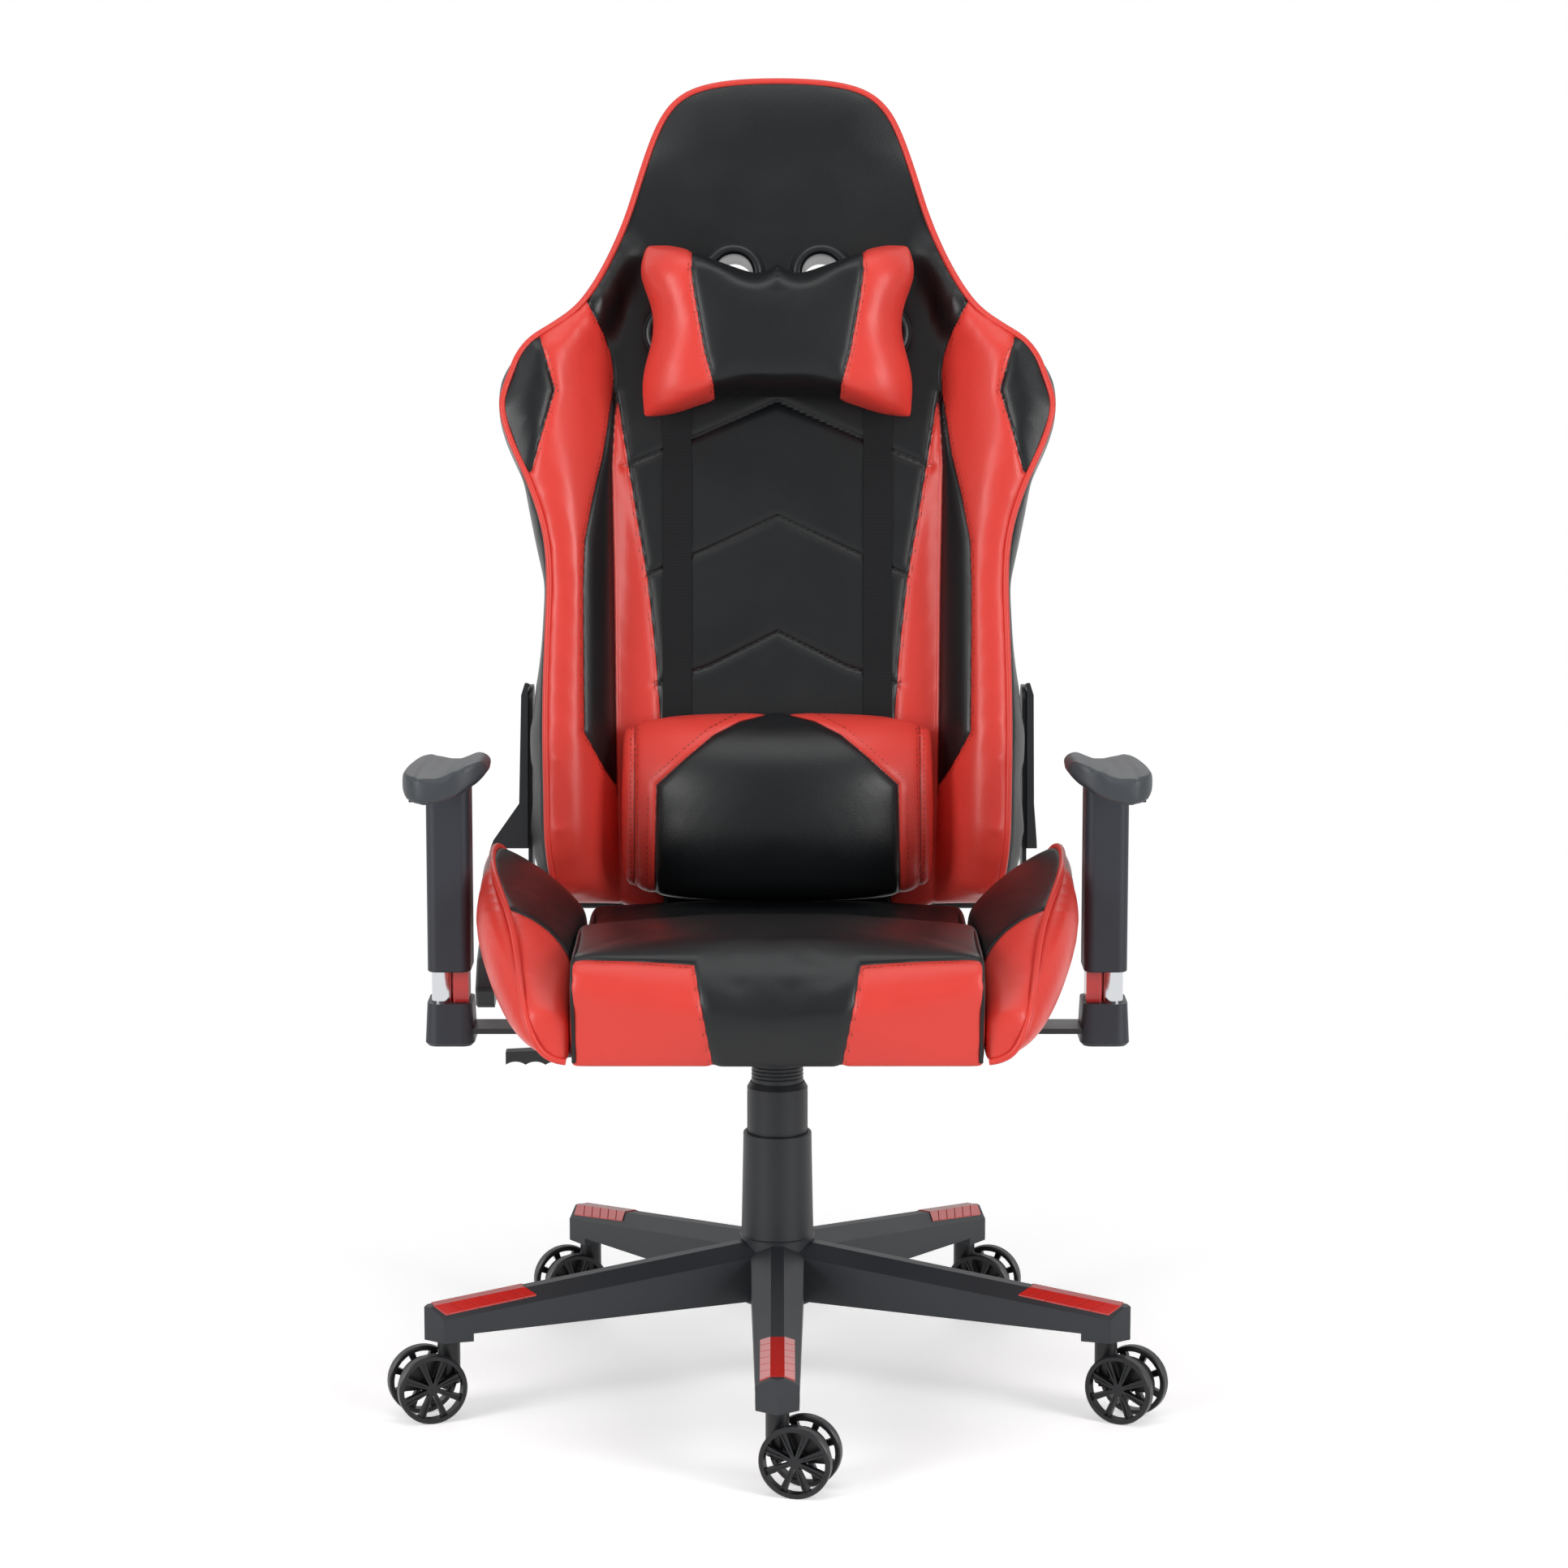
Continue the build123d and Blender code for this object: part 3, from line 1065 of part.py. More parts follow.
PAD_Z = SLEEVE_Z + SLEEVE_H
TRIGGER_Z = PAD_Z - 16
TRIGGER_PIN_X = SLEEVE_X + SLEEVE_W / 2 - SLEEVE_WALL - 6
for side, hand in ((1, "left"), (-1, "right")):
    # hollow moulded sleeve that slides over post and rail
    with BuildPart() as arm_sleeve:
        with BuildSketch(Plane.XY.offset(SLEEVE_Z)):
            with Locations((SLEEVE_X, ARM_Y)):
                RectangleRounded(SLEEVE_W, SLEEVE_L, 9)
                RectangleRounded(SLEEVE_W - 2 * SLEEVE_WALL, SLEEVE_L - 2 * SLEEVE_WALL, 7, mode=Mode.SUBTRACT)
        extrude(amount=SLEEVE_H)
        chamfer(arm_sleeve.faces().sort_by(Axis.Z)[0].outer_wire().edges(), length=1)
        # plate under the pad, and the trigger's window
        with BuildSketch(Plane.XY.offset(PAD_Z - SLEEVE_WALL)):
            with Locations((SLEEVE_X, ARM_Y)):
                RectangleRounded(SLEEVE_W, SLEEVE_L, 9)
        extrude(amount=SLEEVE_WALL)
        with BuildSketch(Plane.YZ.offset(SLEEVE_X)):
            with Locations((ARM_Y, TRIGGER_Z)):
                Rectangle(TRIGGER_W + 2 * SEAT_FIT, TRIGGER_SLOT_H)
        extrude(amount=SLEEVE_W, mode=Mode.SUBTRACT)
        with BuildSketch(Plane.XZ.offset(-ARM_Y)):
            with Locations((TRIGGER_PIN_X, TRIGGER_Z)):
                Circle(TRIGGER_PIN_D / 2)
        extrude(amount=SLEEVE_L / 2 - SLEEVE_WALL / 2, both=True)
        if side < 0:
            mirror(about=Plane.YZ, mode=Mode.REPLACE)
    arm_sleeve.part.label = f"arm_sleeve_{hand}"
    export_step(arm_sleeve.part, f"parts/arm_sleeve_{hand}.step")

    # finger trigger on its pin, through the sleeve's outer wall
    with BuildPart() as arm_trigger:
        with BuildSketch(Plane.XZ.offset(-ARM_Y)):
            Polygon(
                (TRIGGER_PIN_X - 5, TRIGGER_Z - 4), (TRIGGER_PIN_X + 6, TRIGGER_Z - 4),
                (TRIGGER_PIN_X + 12, TRIGGER_Z - 2.5), (TRIGGER_PIN_X + 25, TRIGGER_Z - 2),
                (TRIGGER_PIN_X + 25, TRIGGER_Z + 1), (TRIGGER_PIN_X + 12, TRIGGER_Z + 2),
                (TRIGGER_PIN_X + 6, TRIGGER_Z + 4), (TRIGGER_PIN_X - 5, TRIGGER_Z + 4),
                align=None,
            )
            with Locations((TRIGGER_PIN_X, TRIGGER_Z)):
                Circle(TRIGGER_PIN_D / 2 + RUN_FIT, mode=Mode.SUBTRACT)
        extrude(amount=TRIGGER_W / 2, both=True)
        if side < 0:
            mirror(about=Plane.YZ, mode=Mode.REPLACE)
    arm_trigger.part.label = f"arm_trigger_{hand}"
    export_step(arm_trigger.part, f"parts/arm_trigger_{hand}.step")

    # saddle-shaped pad, higher on its inner edge and drooping at both ends
    with BuildPart() as arm_pad:
        with BuildLine() as pad_path:
            ThreePointArc(
                (SLEEVE_X, PAD_Y - PAD_L / 2 - 2, PAD_Z - 5), (SLEEVE_X, PAD_Y - 8, PAD_Z),
                (SLEEVE_X, PAD_Y + PAD_L / 2 + 2, PAD_Z - 9),
            )
        with BuildSketch(Plane(origin=pad_path.line @ 0, x_dir=(-1, 0, 0), z_dir=pad_path.line % 0)):
            with BuildLine():
                Spline(
                    (PAD_W / 2, 0.75 * PAD_T), (0.30 * PAD_W, 0.08 * PAD_T), (0, -1), (-0.30 * PAD_W, 0),
                    (-PAD_W / 2, 0.45 * PAD_T), (-0.34 * PAD_W, PAD_T + 2), (0, PAD_T - PAD_HUMP + 1),
                    (0.36 * PAD_W, PAD_T + PAD_HUMP),
                    periodic=True,
                )
            make_face()
        sweep(path=pad_path.line)
        with BuildSketch(Plane.XY.offset(PAD_Z - PAD_L / 4)):
            with Locations((SLEEVE_X, PAD_Y)):
                RectangleRounded(PAD_W + 1, PAD_L, PAD_W * 0.42)
        extrude(amount=PAD_L / 2, mode=Mode.INTERSECT)
        with BuildSketch(Plane.XY.offset(PAD_Z)):
            with Locations((SLEEVE_X, ARM_Y)):
                RectangleRounded(SLEEVE_W + 2, SLEEVE_L + 2, 9)
        extrude(amount=-PAD_T, mode=Mode.SUBTRACT)
        if side < 0:
            mirror(about=Plane.YZ, mode=Mode.REPLACE)
    arm_pad.part.label = f"arm_pad_{hand}"
    export_step(arm_pad.part, f"parts/arm_pad_{hand}.step")

# ------------------------------------------------------------ recliner

BACK_AXIS = (0, math.sin(math.radians(LEAN)), math.cos(math.radians(LEAN)))
BACK_NORMAL = (0, -math.cos(math.radians(LEAN)), math.sin(math.radians(LEAN)))
BACK_ORIGIN = (0, BACK_FRONT_Y, BACK_Z)
# front face of the back: x across, y up the back, z towards the sitter
BACK_PLANE = Plane(origin=BACK_ORIGIN, x_dir=(1, 0, 0), z_dir=BACK_NORMAL)
# side view of the back: x towards the sitter, y up the back
BACK_SIDE = Plane(origin=BACK_ORIGIN, x_dir=BACK_NORMAL, z_dir=(-1, 0, 0))


def back_section(height):
    """Plane across the back at a height along it: x across, y towards the sitter."""
    origin = tuple(o + height * a for o, a in zip(BACK_ORIGIN, BACK_AXIS))
    return Plane(origin=origin, x_dir=(1, 0, 0), z_dir=tuple(-a for a in BACK_AXIS))


PIVOT_N = (PIVOT_Y - BACK_FRONT_Y) * BACK_NORMAL[1] + (PIVOT_Z - BACK_Z) * BACK_NORMAL[2]
PIVOT_H = (PIVOT_Y - BACK_FRONT_Y) * BACK_AXIS[1] + (PIVOT_Z - BACK_Z) * BACK_AXIS[2]
ARM_IN_X = RECLINER_X + RECLINER_T + RECLINER_GAP     # inner face of a moving arm

# fixed side plates welded to the stubs of the seat frame, each with its gear disc
with BuildPart() as recliner_plates:
    with BuildSketch(Plane.YZ.offset(RECLINER_X)):
        Polygon(
            (REAR_BAR_Y - 14, FRAME_Z), (REAR_BAR_Y + 18, FRAME_Z), (PIVOT_Y + 24, PIVOT_Z - 14),
            (PIVOT_Y + 24, PIVOT_Z + 12), (PIVOT_Y + 12, PIVOT_Z + 24), (PIVOT_Y - 12, PIVOT_Z + 24),
            (REAR_BAR_Y - 14, FRAME_Z + FRAME_TUBE_H + 8),
            align=None,
        )
    extrude(amount=RECLINER_T)
    with BuildSketch(Plane.YZ.offset(RECLINER_X + RECLINER_T)):
        with Locations((PIVOT_Y, PIVOT_Z)):
            Circle(DISC_D / 2)
    extrude(amount=RECLINER_GAP - RUN_FIT)
    with BuildSketch(Plane.YZ.offset(RECLINER_X)):
        with Locations((PIVOT_Y, PIVOT_Z)):
            Circle(CROSS_ROD_D / 2 + RUN_FIT)
    extrude(amount=RECLINER_T + RECLINER_GAP, mode=Mode.SUBTRACT)
    mirror(about=Plane.YZ)
recliner_plates.part.label = "recliner_plates"
export_step(recliner_plates.part, "parts/recliner_plates.step")

# moving arms, with the studs that run into the frame inside the back
STUD_H = (RECLINER_ARM_L * 0.40, RECLINER_ARM_L * 0.82)
with BuildPart() as recliner_arms:
    with BuildSketch(BACK_SIDE.offset(-ARM_IN_X)):
        with Locations((PIVOT_N, PIVOT_H + RECLINER_ARM_L / 2)):
            SlotOverall(RECLINER_ARM_L + RECLINER_ARM_W, RECLINER_ARM_W, rotation=90)
        with Locations((PIVOT_N, PIVOT_H)):
            Circle(CROSS_ROD_D / 2 + RUN_FIT, mode=Mode.SUBTRACT)
    extrude(amount=-RECLINER_T)
    with BuildSketch(BACK_SIDE.offset(-ARM_IN_X)):
        with Locations(*[(PIVOT_N, PIVOT_H + rise) for rise in STUD_H]):
            Circle(STUD_D / 2)
    extrude(amount=ARM_IN_X - BACK_FRAME_X - BACK_TUBE_D / 2 + 4)
    mirror(about=Plane.YZ)
recliner_arms.part.label = "recliner_arms"
export_step(recliner_arms.part, "parts/recliner_arms.step")

# moulded covers over the arms, the right one flared at its foot behind the lever
COVER_H = (PIVOT_H + COVER_FOOT, PIVOT_H + RECLINER_ARM_L + RECLINER_ARM_W / 2)
COVER_X = ARM_IN_X + RECLINER_T + SEAT_FIT
with BuildPart() as recliner_covers:
    for side, flare in ((-1, COVER_FLARE_X - COVER_WAIST_X), (1, 3.0)):
        for skin, mode in ((0.0, Mode.ADD), (COVER_SKIN, Mode.SUBTRACT)):
            waist = COVER_WAIST_X - skin
            with BuildSketch(BACK_PLANE.offset(PIVOT_N - COVER_DEPTH / 2 + skin)):
                Polygon(
                    *[(side * x, h) for x, h in (
                        (COVER_X, COVER_H[0] - skin), (waist + flare, COVER_H[0] - skin),
                        (waist + 0.9 * flare, COVER_H[0] + 8), (waist + 0.06 * flare, COVER_H[0] + 44),
                        (waist, COVER_H[1] - 12), (COVER_X + 3 - skin, COVER_H[1] - skin),
                        (COVER_X, COVER_H[1] - skin),
                    )],
                    align=None,
                )
            extrude(amount=COVER_DEPTH - 2 * skin, mode=mode)
recliner_covers.part.label = "recliner_covers"
export_step(recliner_covers.part, "parts/recliner_covers.step")

# release lever on the right, keyed to the rod that joins the two recliners
with BuildPart() as recline_lever:
    with BuildSketch(Plane.YZ.offset(-LEVER_OUT_X)):
        with Locations((PIVOT_Y, PIVOT_Z)):
            Circle(LEVER_BOSS_D / 2)
    extrude(amount=LEVER_OUT_X - LEVER_IN_X + 6)
    dip = math.radians(LEVER_DIP)
    tip_y, tip_z = PIVOT_Y - LEVER_L * math.cos(dip), PIVOT_Z - LEVER_L * math.sin(dip)
    rise = (math.sin(dip), -math.cos(dip))
    with BuildSketch(Plane.YZ.offset(-LEVER_OUT_X)):
        with BuildLine():
            Polyline(
                (PIVOT_Y + 4, PIVOT_Z + LEVER_BOSS_D / 2 - 1), (PIVOT_Y - 40, PIVOT_Z - 3),
                (tip_y + 20 - rise[0] * 22, tip_z + 9 - rise[1] * 22),
                (tip_y - 12 - rise[0] * 10, tip_z - 5 - rise[1] * 10),
                (tip_y - 14 + rise[0] * 12, tip_z - 5 + rise[1] * 12),
                (tip_y + 14 + rise[0] * 20, tip_z + 6 + rise[1] * 20),
                (PIVOT_Y - 46, PIVOT_Z - 40), (PIVOT_Y - 2, PIVOT_Z - LEVER_BOSS_D / 2 + 1), close=True,
            )
        make_face()
    extrude(amount=LEVER_OUT_X - LEVER_IN_X)
    fillet(recline_lever.edges().filter_by(Axis.X).sort_by(Axis.Y)[:4], radius=6)
    chamfer(recline_lever.faces().sort_by(Axis.X)[0].edges(), length=2)
    with BuildSketch(Plane.YZ.offset(-LEVER_OUT_X + 6)):
        with Locations((PIVOT_Y, PIVOT_Z)):
            Circle(CROSS_ROD_D / 2 + PRESS_FIT)
    extrude(amount=LEVER_OUT_X, mode=Mode.SUBTRACT)
    with BuildSketch(Plane.YZ.offset(-LEVER_OUT_X + 6 + PRESS_FIT)):
        with Locations((PIVOT_Y, PIVOT_Z)):
            Circle(CROSS_ROD_D / 2)
    extrude(amount=LEVER_OUT_X - 6 + ARM_IN_X + RECLINER_T + 2)
recline_lever.part.label = "recline_lever"
export_step(recline_lever.part, "parts/recline_lever.step")

# ------------------------------------------------------------ back

# half width of the back at heights up it, from foot to head
BACK_OUTLINE = (
    (0, 208), (34, 221), (95, 230), (140, 231), (188, 231), (230, 230), (270, 227), (310, 225.5), (336, 227),
    (366, 233), (398, 245.5), (430, 260.5), (455, 270), (480, 274), (500, 272), (518, 263.5), (534, 248.5),
    (553, 220), (569, 197), (590, 180), (620, 165), (660, 149), (708, 133.5), (742, 121.5), (764, 111),
    (779, 97), (789, 76), (795, 45), (797, 0),
)


def back_half_width(height):
    """Half width of the back at a height up it."""
    for (low, low_w), (high, high_w) in zip(BACK_OUTLINE, BACK_OUTLINE[1:]):
        if height <= high:
            return blend(low_w, high_w, (height - low) / (high - low))
    return 0.0


OUTLINE_POINTS = [(w, h) for h, w in BACK_OUTLINE] + [(-w, h) for h, w in reversed(BACK_OUTLINE[:-1])]


def harness_slots(length, width, mode=Mode.ADD):
    """The two slanted harness openings, made in the sketch that is open."""
    for side in (-1, 1):
        with Locations((side * HOLE_X, HOLE_H)):
            SlotOverall(length, width, rotation=-side * HOLE_ANGLE, mode=mode)


def frame_loop(plane):
    """Centre line of the tube loop inside the back."""
    with BuildLine(plane) as loop:
        FilletPolyline(
            (BACK_FRAME_X, 18), (BACK_FRAME_X, 370), (168, 520), (122, 640), (86, 745),
            (-86, 745), (-122, 640), (-168, 520), (-BACK_FRAME_X, 370), (-BACK_FRAME_X, 18),
            radius=16, close=True,
        )
    return loop.wires()[0]


# tube loop with two cross bars
loop_plane = BACK_PLANE.offset(PIVOT_N)
loop_start = Plane(origin=loop_plane.from_local_coords((0, 18, 0)), x_dir=BACK_AXIS, z_dir=(1, 0, 0))
CROSS_BARS = (110.0, 300.0, 460.0)
with BuildPart() as back_frame:
    with BuildSketch(loop_start):
        Circle(BACK_TUBE_D / 2)
    sweep(path=frame_loop(loop_plane))
    for height in CROSS_BARS:
        with BuildSketch(loop_plane.offset(-CROSS_BAR_T / 2)):
            with Locations((0, height)):
                Rectangle(2 * BACK_FRAME_X - 12, CROSS_BAR_W)
        extrude(amount=CROSS_BAR_T)
    with BuildSketch(BACK_SIDE.offset(-BACK_FRAME_X - BACK_TUBE_D)):
        with Locations(*[(PIVOT_N, PIVOT_H + rise) for rise in STUD_H]):
            Circle(STUD_D / 2 + PRESS_FIT)
    extrude(amount=2 * BACK_FRAME_X + 2 * BACK_TUBE_D, mode=Mode.SUBTRACT)
back_frame.part.label = "back_frame"
export_step(back_frame.part, "parts/back_frame.step")

# height up the back, wing depth, inner seam of the wing, bulge of its side
WINGS = (
    (6, 34, 156, 0.5), (36, 50, 154, 9), (60, 58, 152, 11), (150, 64, 152, 12), (200, 63, 152, 6),
    (250, 61, 152, 0.5), (300, 60, 152, 0.5), (400, 64, 152, 0.5), (470, 64, 158, 0.5), (534, 56, 162, 0.5),
    (576, 34, 150, 0.5), (620, 14, 134, 0.5), (646, 3, 128, 0.5),
)
with BuildPart() as back_pad:
    with BuildSketch(BACK_PLANE.offset(-BACK_CORE_T)):
        with BuildLine():
            Spline(*OUTLINE_POINTS)
            Line(OUTLINE_POINTS[-1], OUTLINE_POINTS[0])
        make_face()
    extrude(amount=BACK_CORE_T)
    with BuildPart(mode=Mode.PRIVATE) as wing:
        for height, depth, inner, bulge in WINGS:
            outer = back_half_width(height) - 0.5
            span = outer - inner
            with BuildSketch(back_section(height)):
                Polygon(
                    (inner, -WING_ROOT), (inner, 0), (inner + 0.30 * span, 0.62 * depth),
                    (inner + 0.52 * span, 0.92 * depth), (inner + 0.75 * span, depth),
                    (inner + 0.92 * span, 0.90 * depth), (outer + 0.2 * bulge, 0.62 * depth),
                    (outer + bulge, 0.22 * depth), (outer, -WING_ROOT),
                    align=None,
                )
        loft(ruled=True)
        mirror(about=Plane.YZ)
    add(wing.part)
    with BuildSketch(BACK_PLANE.offset(-BACK_CORE_T)):
        harness_slots(HOLE_L, HOLE_W)
    extrude(amount=BACK_CORE_T + 2 * WING_F, mode=Mode.SUBTRACT)
    with BuildSketch(loop_start):
        Circle(BACK_TUBE_D / 2 + PRESS_FIT)
    sweep(path=frame_loop(loop_plane), mode=Mode.SUBTRACT)
    for height in CROSS_BARS:
        with BuildSketch(loop_plane.offset(-CROSS_BAR_T / 2 - PRESS_FIT)):
            with Locations((0, height)):
                Rectangle(2 * BACK_FRAME_X - 12, CROSS_BAR_W + 2 * PRESS_FIT)
        extrude(amount=CROSS_BAR_T + 2 * PRESS_FIT, mode=Mode.SUBTRACT)
    for side in (-1, 1):
        with BuildSketch(BACK_SIDE.offset(side * BACK_FRAME_X)):
            with Locations(*[(PIVOT_N, PIVOT_H + rise) for rise in STUD_H]):
                Circle(STUD_D / 2 + SOFT_GAP)
        extrude(amount=side * 60, mode=Mode.SUBTRACT)
back_pad.part.label = "back_pad"
export_step(back_pad.part, "parts/back_pad.step")

# stiff rear cover
with BuildPart() as back_panel:
    with BuildSketch(BACK_PLANE.offset(-BACK_CORE_T)):
        with BuildLine():
            inset_points = [(w * PANEL_SCALE, PANEL_INSET + h * PANEL_SCALE) for w, h in OUTLINE_POINTS]
            Spline(*inset_points)
            Line(inset_points[-1], inset_points[0])
        make_face()
        harness_slots(HOLE_L + 2 * PRESS_FIT, HOLE_W + 2 * PRESS_FIT, mode=Mode.SUBTRACT)
    extrude(amount=-PANEL_T)
back_panel.part.label = "back_panel"
export_step(back_panel.part, "parts/back_panel.step")

# liners of the harness openings
with BuildPart() as harness_liners:
    with BuildSketch(BACK_PLANE.offset(-BACK_CORE_T - PANEL_T)):
        harness_slots(HOLE_L - 2 * PRESS_FIT, HOLE_W - 2 * PRESS_FIT)
        harness_slots(HOLE_L - 2 * LINER_T, HOLE_W - 2 * LINER_T, mode=Mode.SUBTRACT)
    extrude(amount=BACK_CORE_T + PANEL_T)
    with BuildSketch(BACK_PLANE):
        harness_slots(HOLE_L + 2 * BEZEL_LIP, HOLE_W + 2 * BEZEL_LIP)
        harness_slots(HOLE_L - 2 * LINER_T, HOLE_W - 2 * LINER_T, mode=Mode.SUBTRACT)
    extrude(amount=BEZEL_T)
harness_liners.part.label = "harness_liners"
export_step(harness_liners.part, "parts/harness_liners.step")

# webbing loops: down the front, under the foot, up the rear and through the openings
with BuildPart() as straps:
    with BuildSketch(BACK_SIDE.offset(STRAP_X)):
        with Locations(((STRAP_FRONT - STRAP_REAR) / 2, (STRAP_TOP_H - STRAP_FOOT) / 2)):
            RectangleRounded(
                STRAP_FRONT + STRAP_REAR + 2 * STRAP_T, STRAP_TOP_H + STRAP_FOOT + 2 * STRAP_T, STRAP_T + 1,
            )
            RectangleRounded(STRAP_FRONT + STRAP_REAR, STRAP_TOP_H + STRAP_FOOT, 1, mode=Mode.SUBTRACT)
    extrude(amount=STRAP_W / 2, both=True)
    mirror(about=Plane.YZ)
straps.part.label = "straps"
export_step(straps.part, "parts/straps.step")

# ------------------------------------------------------------ pillows

# lumbar pillow: full in the middle, thinner at the ends
with BuildPart() as lumbar_pillow:
    for share, thick, trim in ((-1, 0.50, 14), (-0.62, 0.86, 2), (0, 1, 0), (0.62, 0.86, 2), (1, 0.50, 14)):
        with BuildSketch(BACK_SIDE.offset(-share * LUMBAR_W / 2)):
            with BuildLine():
                deep = PILLOW_GAP + thick * LUMBAR_T
                low, high = LUMBAR_H + trim, LUMBAR_H + LUMBAR_L - trim
                Spline(
                    (PILLOW_GAP, high - 8), (blend(PILLOW_GAP, deep, 0.35), high),
                    (blend(PILLOW_GAP, deep, 0.86), blend(low, high, 0.78)), (deep, blend(low, high, 0.48)),
                    (blend(PILLOW_GAP, deep, 0.90), blend(low, high, 0.16)),
                    (blend(PILLOW_GAP, deep, 0.55), low),
                    (PILLOW_GAP, low + 6),
                )
                Line((PILLOW_GAP, low + 6), (PILLOW_GAP, high - 8))
            make_face()
    loft()
lumbar_pillow.part.label = "lumbar_pillow"
export_step(lumbar_pillow.part, "parts/lumbar_pillow.step")

# neck pillow: bow-tie outline
with BuildPart() as neck_pillow:
    for rise, scale in ((0, 0.90), (0.34, 1.0), (0.72, 0.93), (1, 0.66)):
        with BuildSketch(BACK_PLANE.offset(PILLOW_GAP + rise * NECK_T)):
            with BuildLine():
                Spline(
                    *[(scale * x * NECK_W, NECK_H + scale * h * NECK_L) for x, h in (
                        (0, 0.40), (0.25, 0.43), (0.44, 0.50), (0.49, 0.42), (0.46, 0.15), (0.455, -0.05),
                        (0.49, -0.36), (0.47, -0.49), (0.25, -0.44), (0, -0.41), (-0.25, -0.44),
                        (-0.47, -0.49), (-0.49, -0.36), (-0.455, -0.05), (-0.46, 0.15), (-0.49, 0.42),
                        (-0.44, 0.50), (-0.25, 0.43),
                    )],
                    periodic=True,
                )
            make_face()
    loft()
neck_pillow.part.label = "neck_pillow"
export_step(neck_pillow.part, "parts/neck_pillow.step")
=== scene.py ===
"""Dresses the gaming chair: sewn covers, piping, webbing, finishes, studio and camera."""

import json
import math
from functools import cache

import bmesh
import bpy
import numpy as np
from bpy.props import FloatProperty, PointerProperty, StringProperty
from bpy.types import Operator, Panel, PropertyGroup
from mathutils import Matrix, Vector
from mathutils.bvhtree import BVHTree


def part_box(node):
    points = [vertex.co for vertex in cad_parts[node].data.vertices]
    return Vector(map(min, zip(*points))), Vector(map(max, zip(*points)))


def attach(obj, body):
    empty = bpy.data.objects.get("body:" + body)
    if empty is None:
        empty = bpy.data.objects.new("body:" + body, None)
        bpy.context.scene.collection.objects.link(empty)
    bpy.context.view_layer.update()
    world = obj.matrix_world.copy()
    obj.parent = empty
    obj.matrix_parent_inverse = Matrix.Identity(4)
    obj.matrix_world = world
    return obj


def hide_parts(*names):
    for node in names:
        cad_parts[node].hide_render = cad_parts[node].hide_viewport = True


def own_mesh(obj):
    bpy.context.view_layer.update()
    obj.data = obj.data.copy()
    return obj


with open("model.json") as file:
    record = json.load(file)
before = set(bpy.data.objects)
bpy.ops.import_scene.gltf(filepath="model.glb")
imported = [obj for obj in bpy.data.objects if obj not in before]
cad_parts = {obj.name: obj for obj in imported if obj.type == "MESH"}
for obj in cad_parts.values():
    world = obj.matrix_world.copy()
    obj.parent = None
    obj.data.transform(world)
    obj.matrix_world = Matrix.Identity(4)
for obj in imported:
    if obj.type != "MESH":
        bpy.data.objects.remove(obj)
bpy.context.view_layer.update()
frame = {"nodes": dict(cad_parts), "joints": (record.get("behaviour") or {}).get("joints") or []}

bl_info = {
    "name": "Gaming chair",
    "version": (1, 0, 0),
    "blender": (4, 5, 0),
    "location": "View3D > Sidebar > Chair",
    "description": "Builds the covers, trims, finishes and studio of a gaming chair on its CAD frame",
    "category": "Object",
}

JOINTS = {joint["name"]: joint for joint in frame["joints"]}
HANDS = (("left", 1), ("right", -1))

# back coordinates: x across, h up the back, n towards the sitter, from the foot of its front face
BACK_FOOT = Vector((0, 0.178, 0.4415))
BACK_UP = Vector(JOINTS["neck_height"]["axis"]).normalized()
BACK_AHEAD = Vector((0, -BACK_UP.z, BACK_UP.y))


# ------------------------------------------------------------ user settings


class ChairColours(PropertyGroup):
    """Colours of the chair, as sRGB hex."""

    black_cover: StringProperty(name="Black cover", description="Coated fabric, main colour", default="#131517")
    red_cover: StringProperty(name="Red cover", description="Coated fabric, panels and piping", default="#DA4138")
    moulding: StringProperty(name="Mouldings", description="Grained plastic of base and armrests", default="#2A2D31")
    inserts: StringProperty(name="Inserts", description="Glossy plastic let into the base", default="#C62A25")


class ChairSizes(PropertyGroup):
    """Sizes of the sewn covers and trims, in metres."""

    piping_d: FloatProperty(
        name="Piping", description="Diameter of the piping round the back and the bolsters",
        default=0.0062, min=0.003, max=0.012, unit="LENGTH", subtype="DISTANCE",
    )
    stitch_pitch: FloatProperty(
        name="Stitch", description="Length of one stitch with its gap",
        default=0.0052, min=0.003, max=0.01, unit="LENGTH", subtype="DISTANCE",
    )
    grain: FloatProperty(
        name="Grain", description="Width of one pebble of the cover's grain",
        default=0.0016, min=0.0005, max=0.004, unit="LENGTH", subtype="DISTANCE",
    )


def colours():
    """The colours that the panel sets."""
    return bpy.context.scene.chair_colours


def sizes():
    """The sizes that the panel sets."""
    return bpy.context.scene.chair_sizes


# ------------------------------------------------------------ materials


def linear(code):
    """Linear RGBA of an sRGB hex code."""
    channels = [int(code[i:i + 2], 16) / 255 for i in (1, 3, 5)]
    return [c / 12.92 if c <= 0.04045 else ((c + 0.055) / 1.055) ** 2.4 for c in channels] + [1.0]


def put(target, **settings):
    """Sets attributes of a thing and gives it back."""
    for name, value in settings.items():
        setattr(target, name, value)
    return target


def plug(tree, socket, value):
    """Sets a socket's constant or links it to an output; a node stands for its first output."""
    if isinstance(value, bpy.types.Node):
        value = value.outputs[0]
    if isinstance(value, bpy.types.NodeSocket):
        tree.links.new(value, socket)
    else:
        socket.default_value = value


def add_node(tree, kind, inputs=None, **settings):
    """Adds a shader node with its settings; inputs maps its sockets to what plug takes."""
    made = put(tree.nodes.new("ShaderNode" + kind), **settings)
    for socket, value in (inputs or {}).items():
        plug(tree, made.inputs[socket], value)
    return made


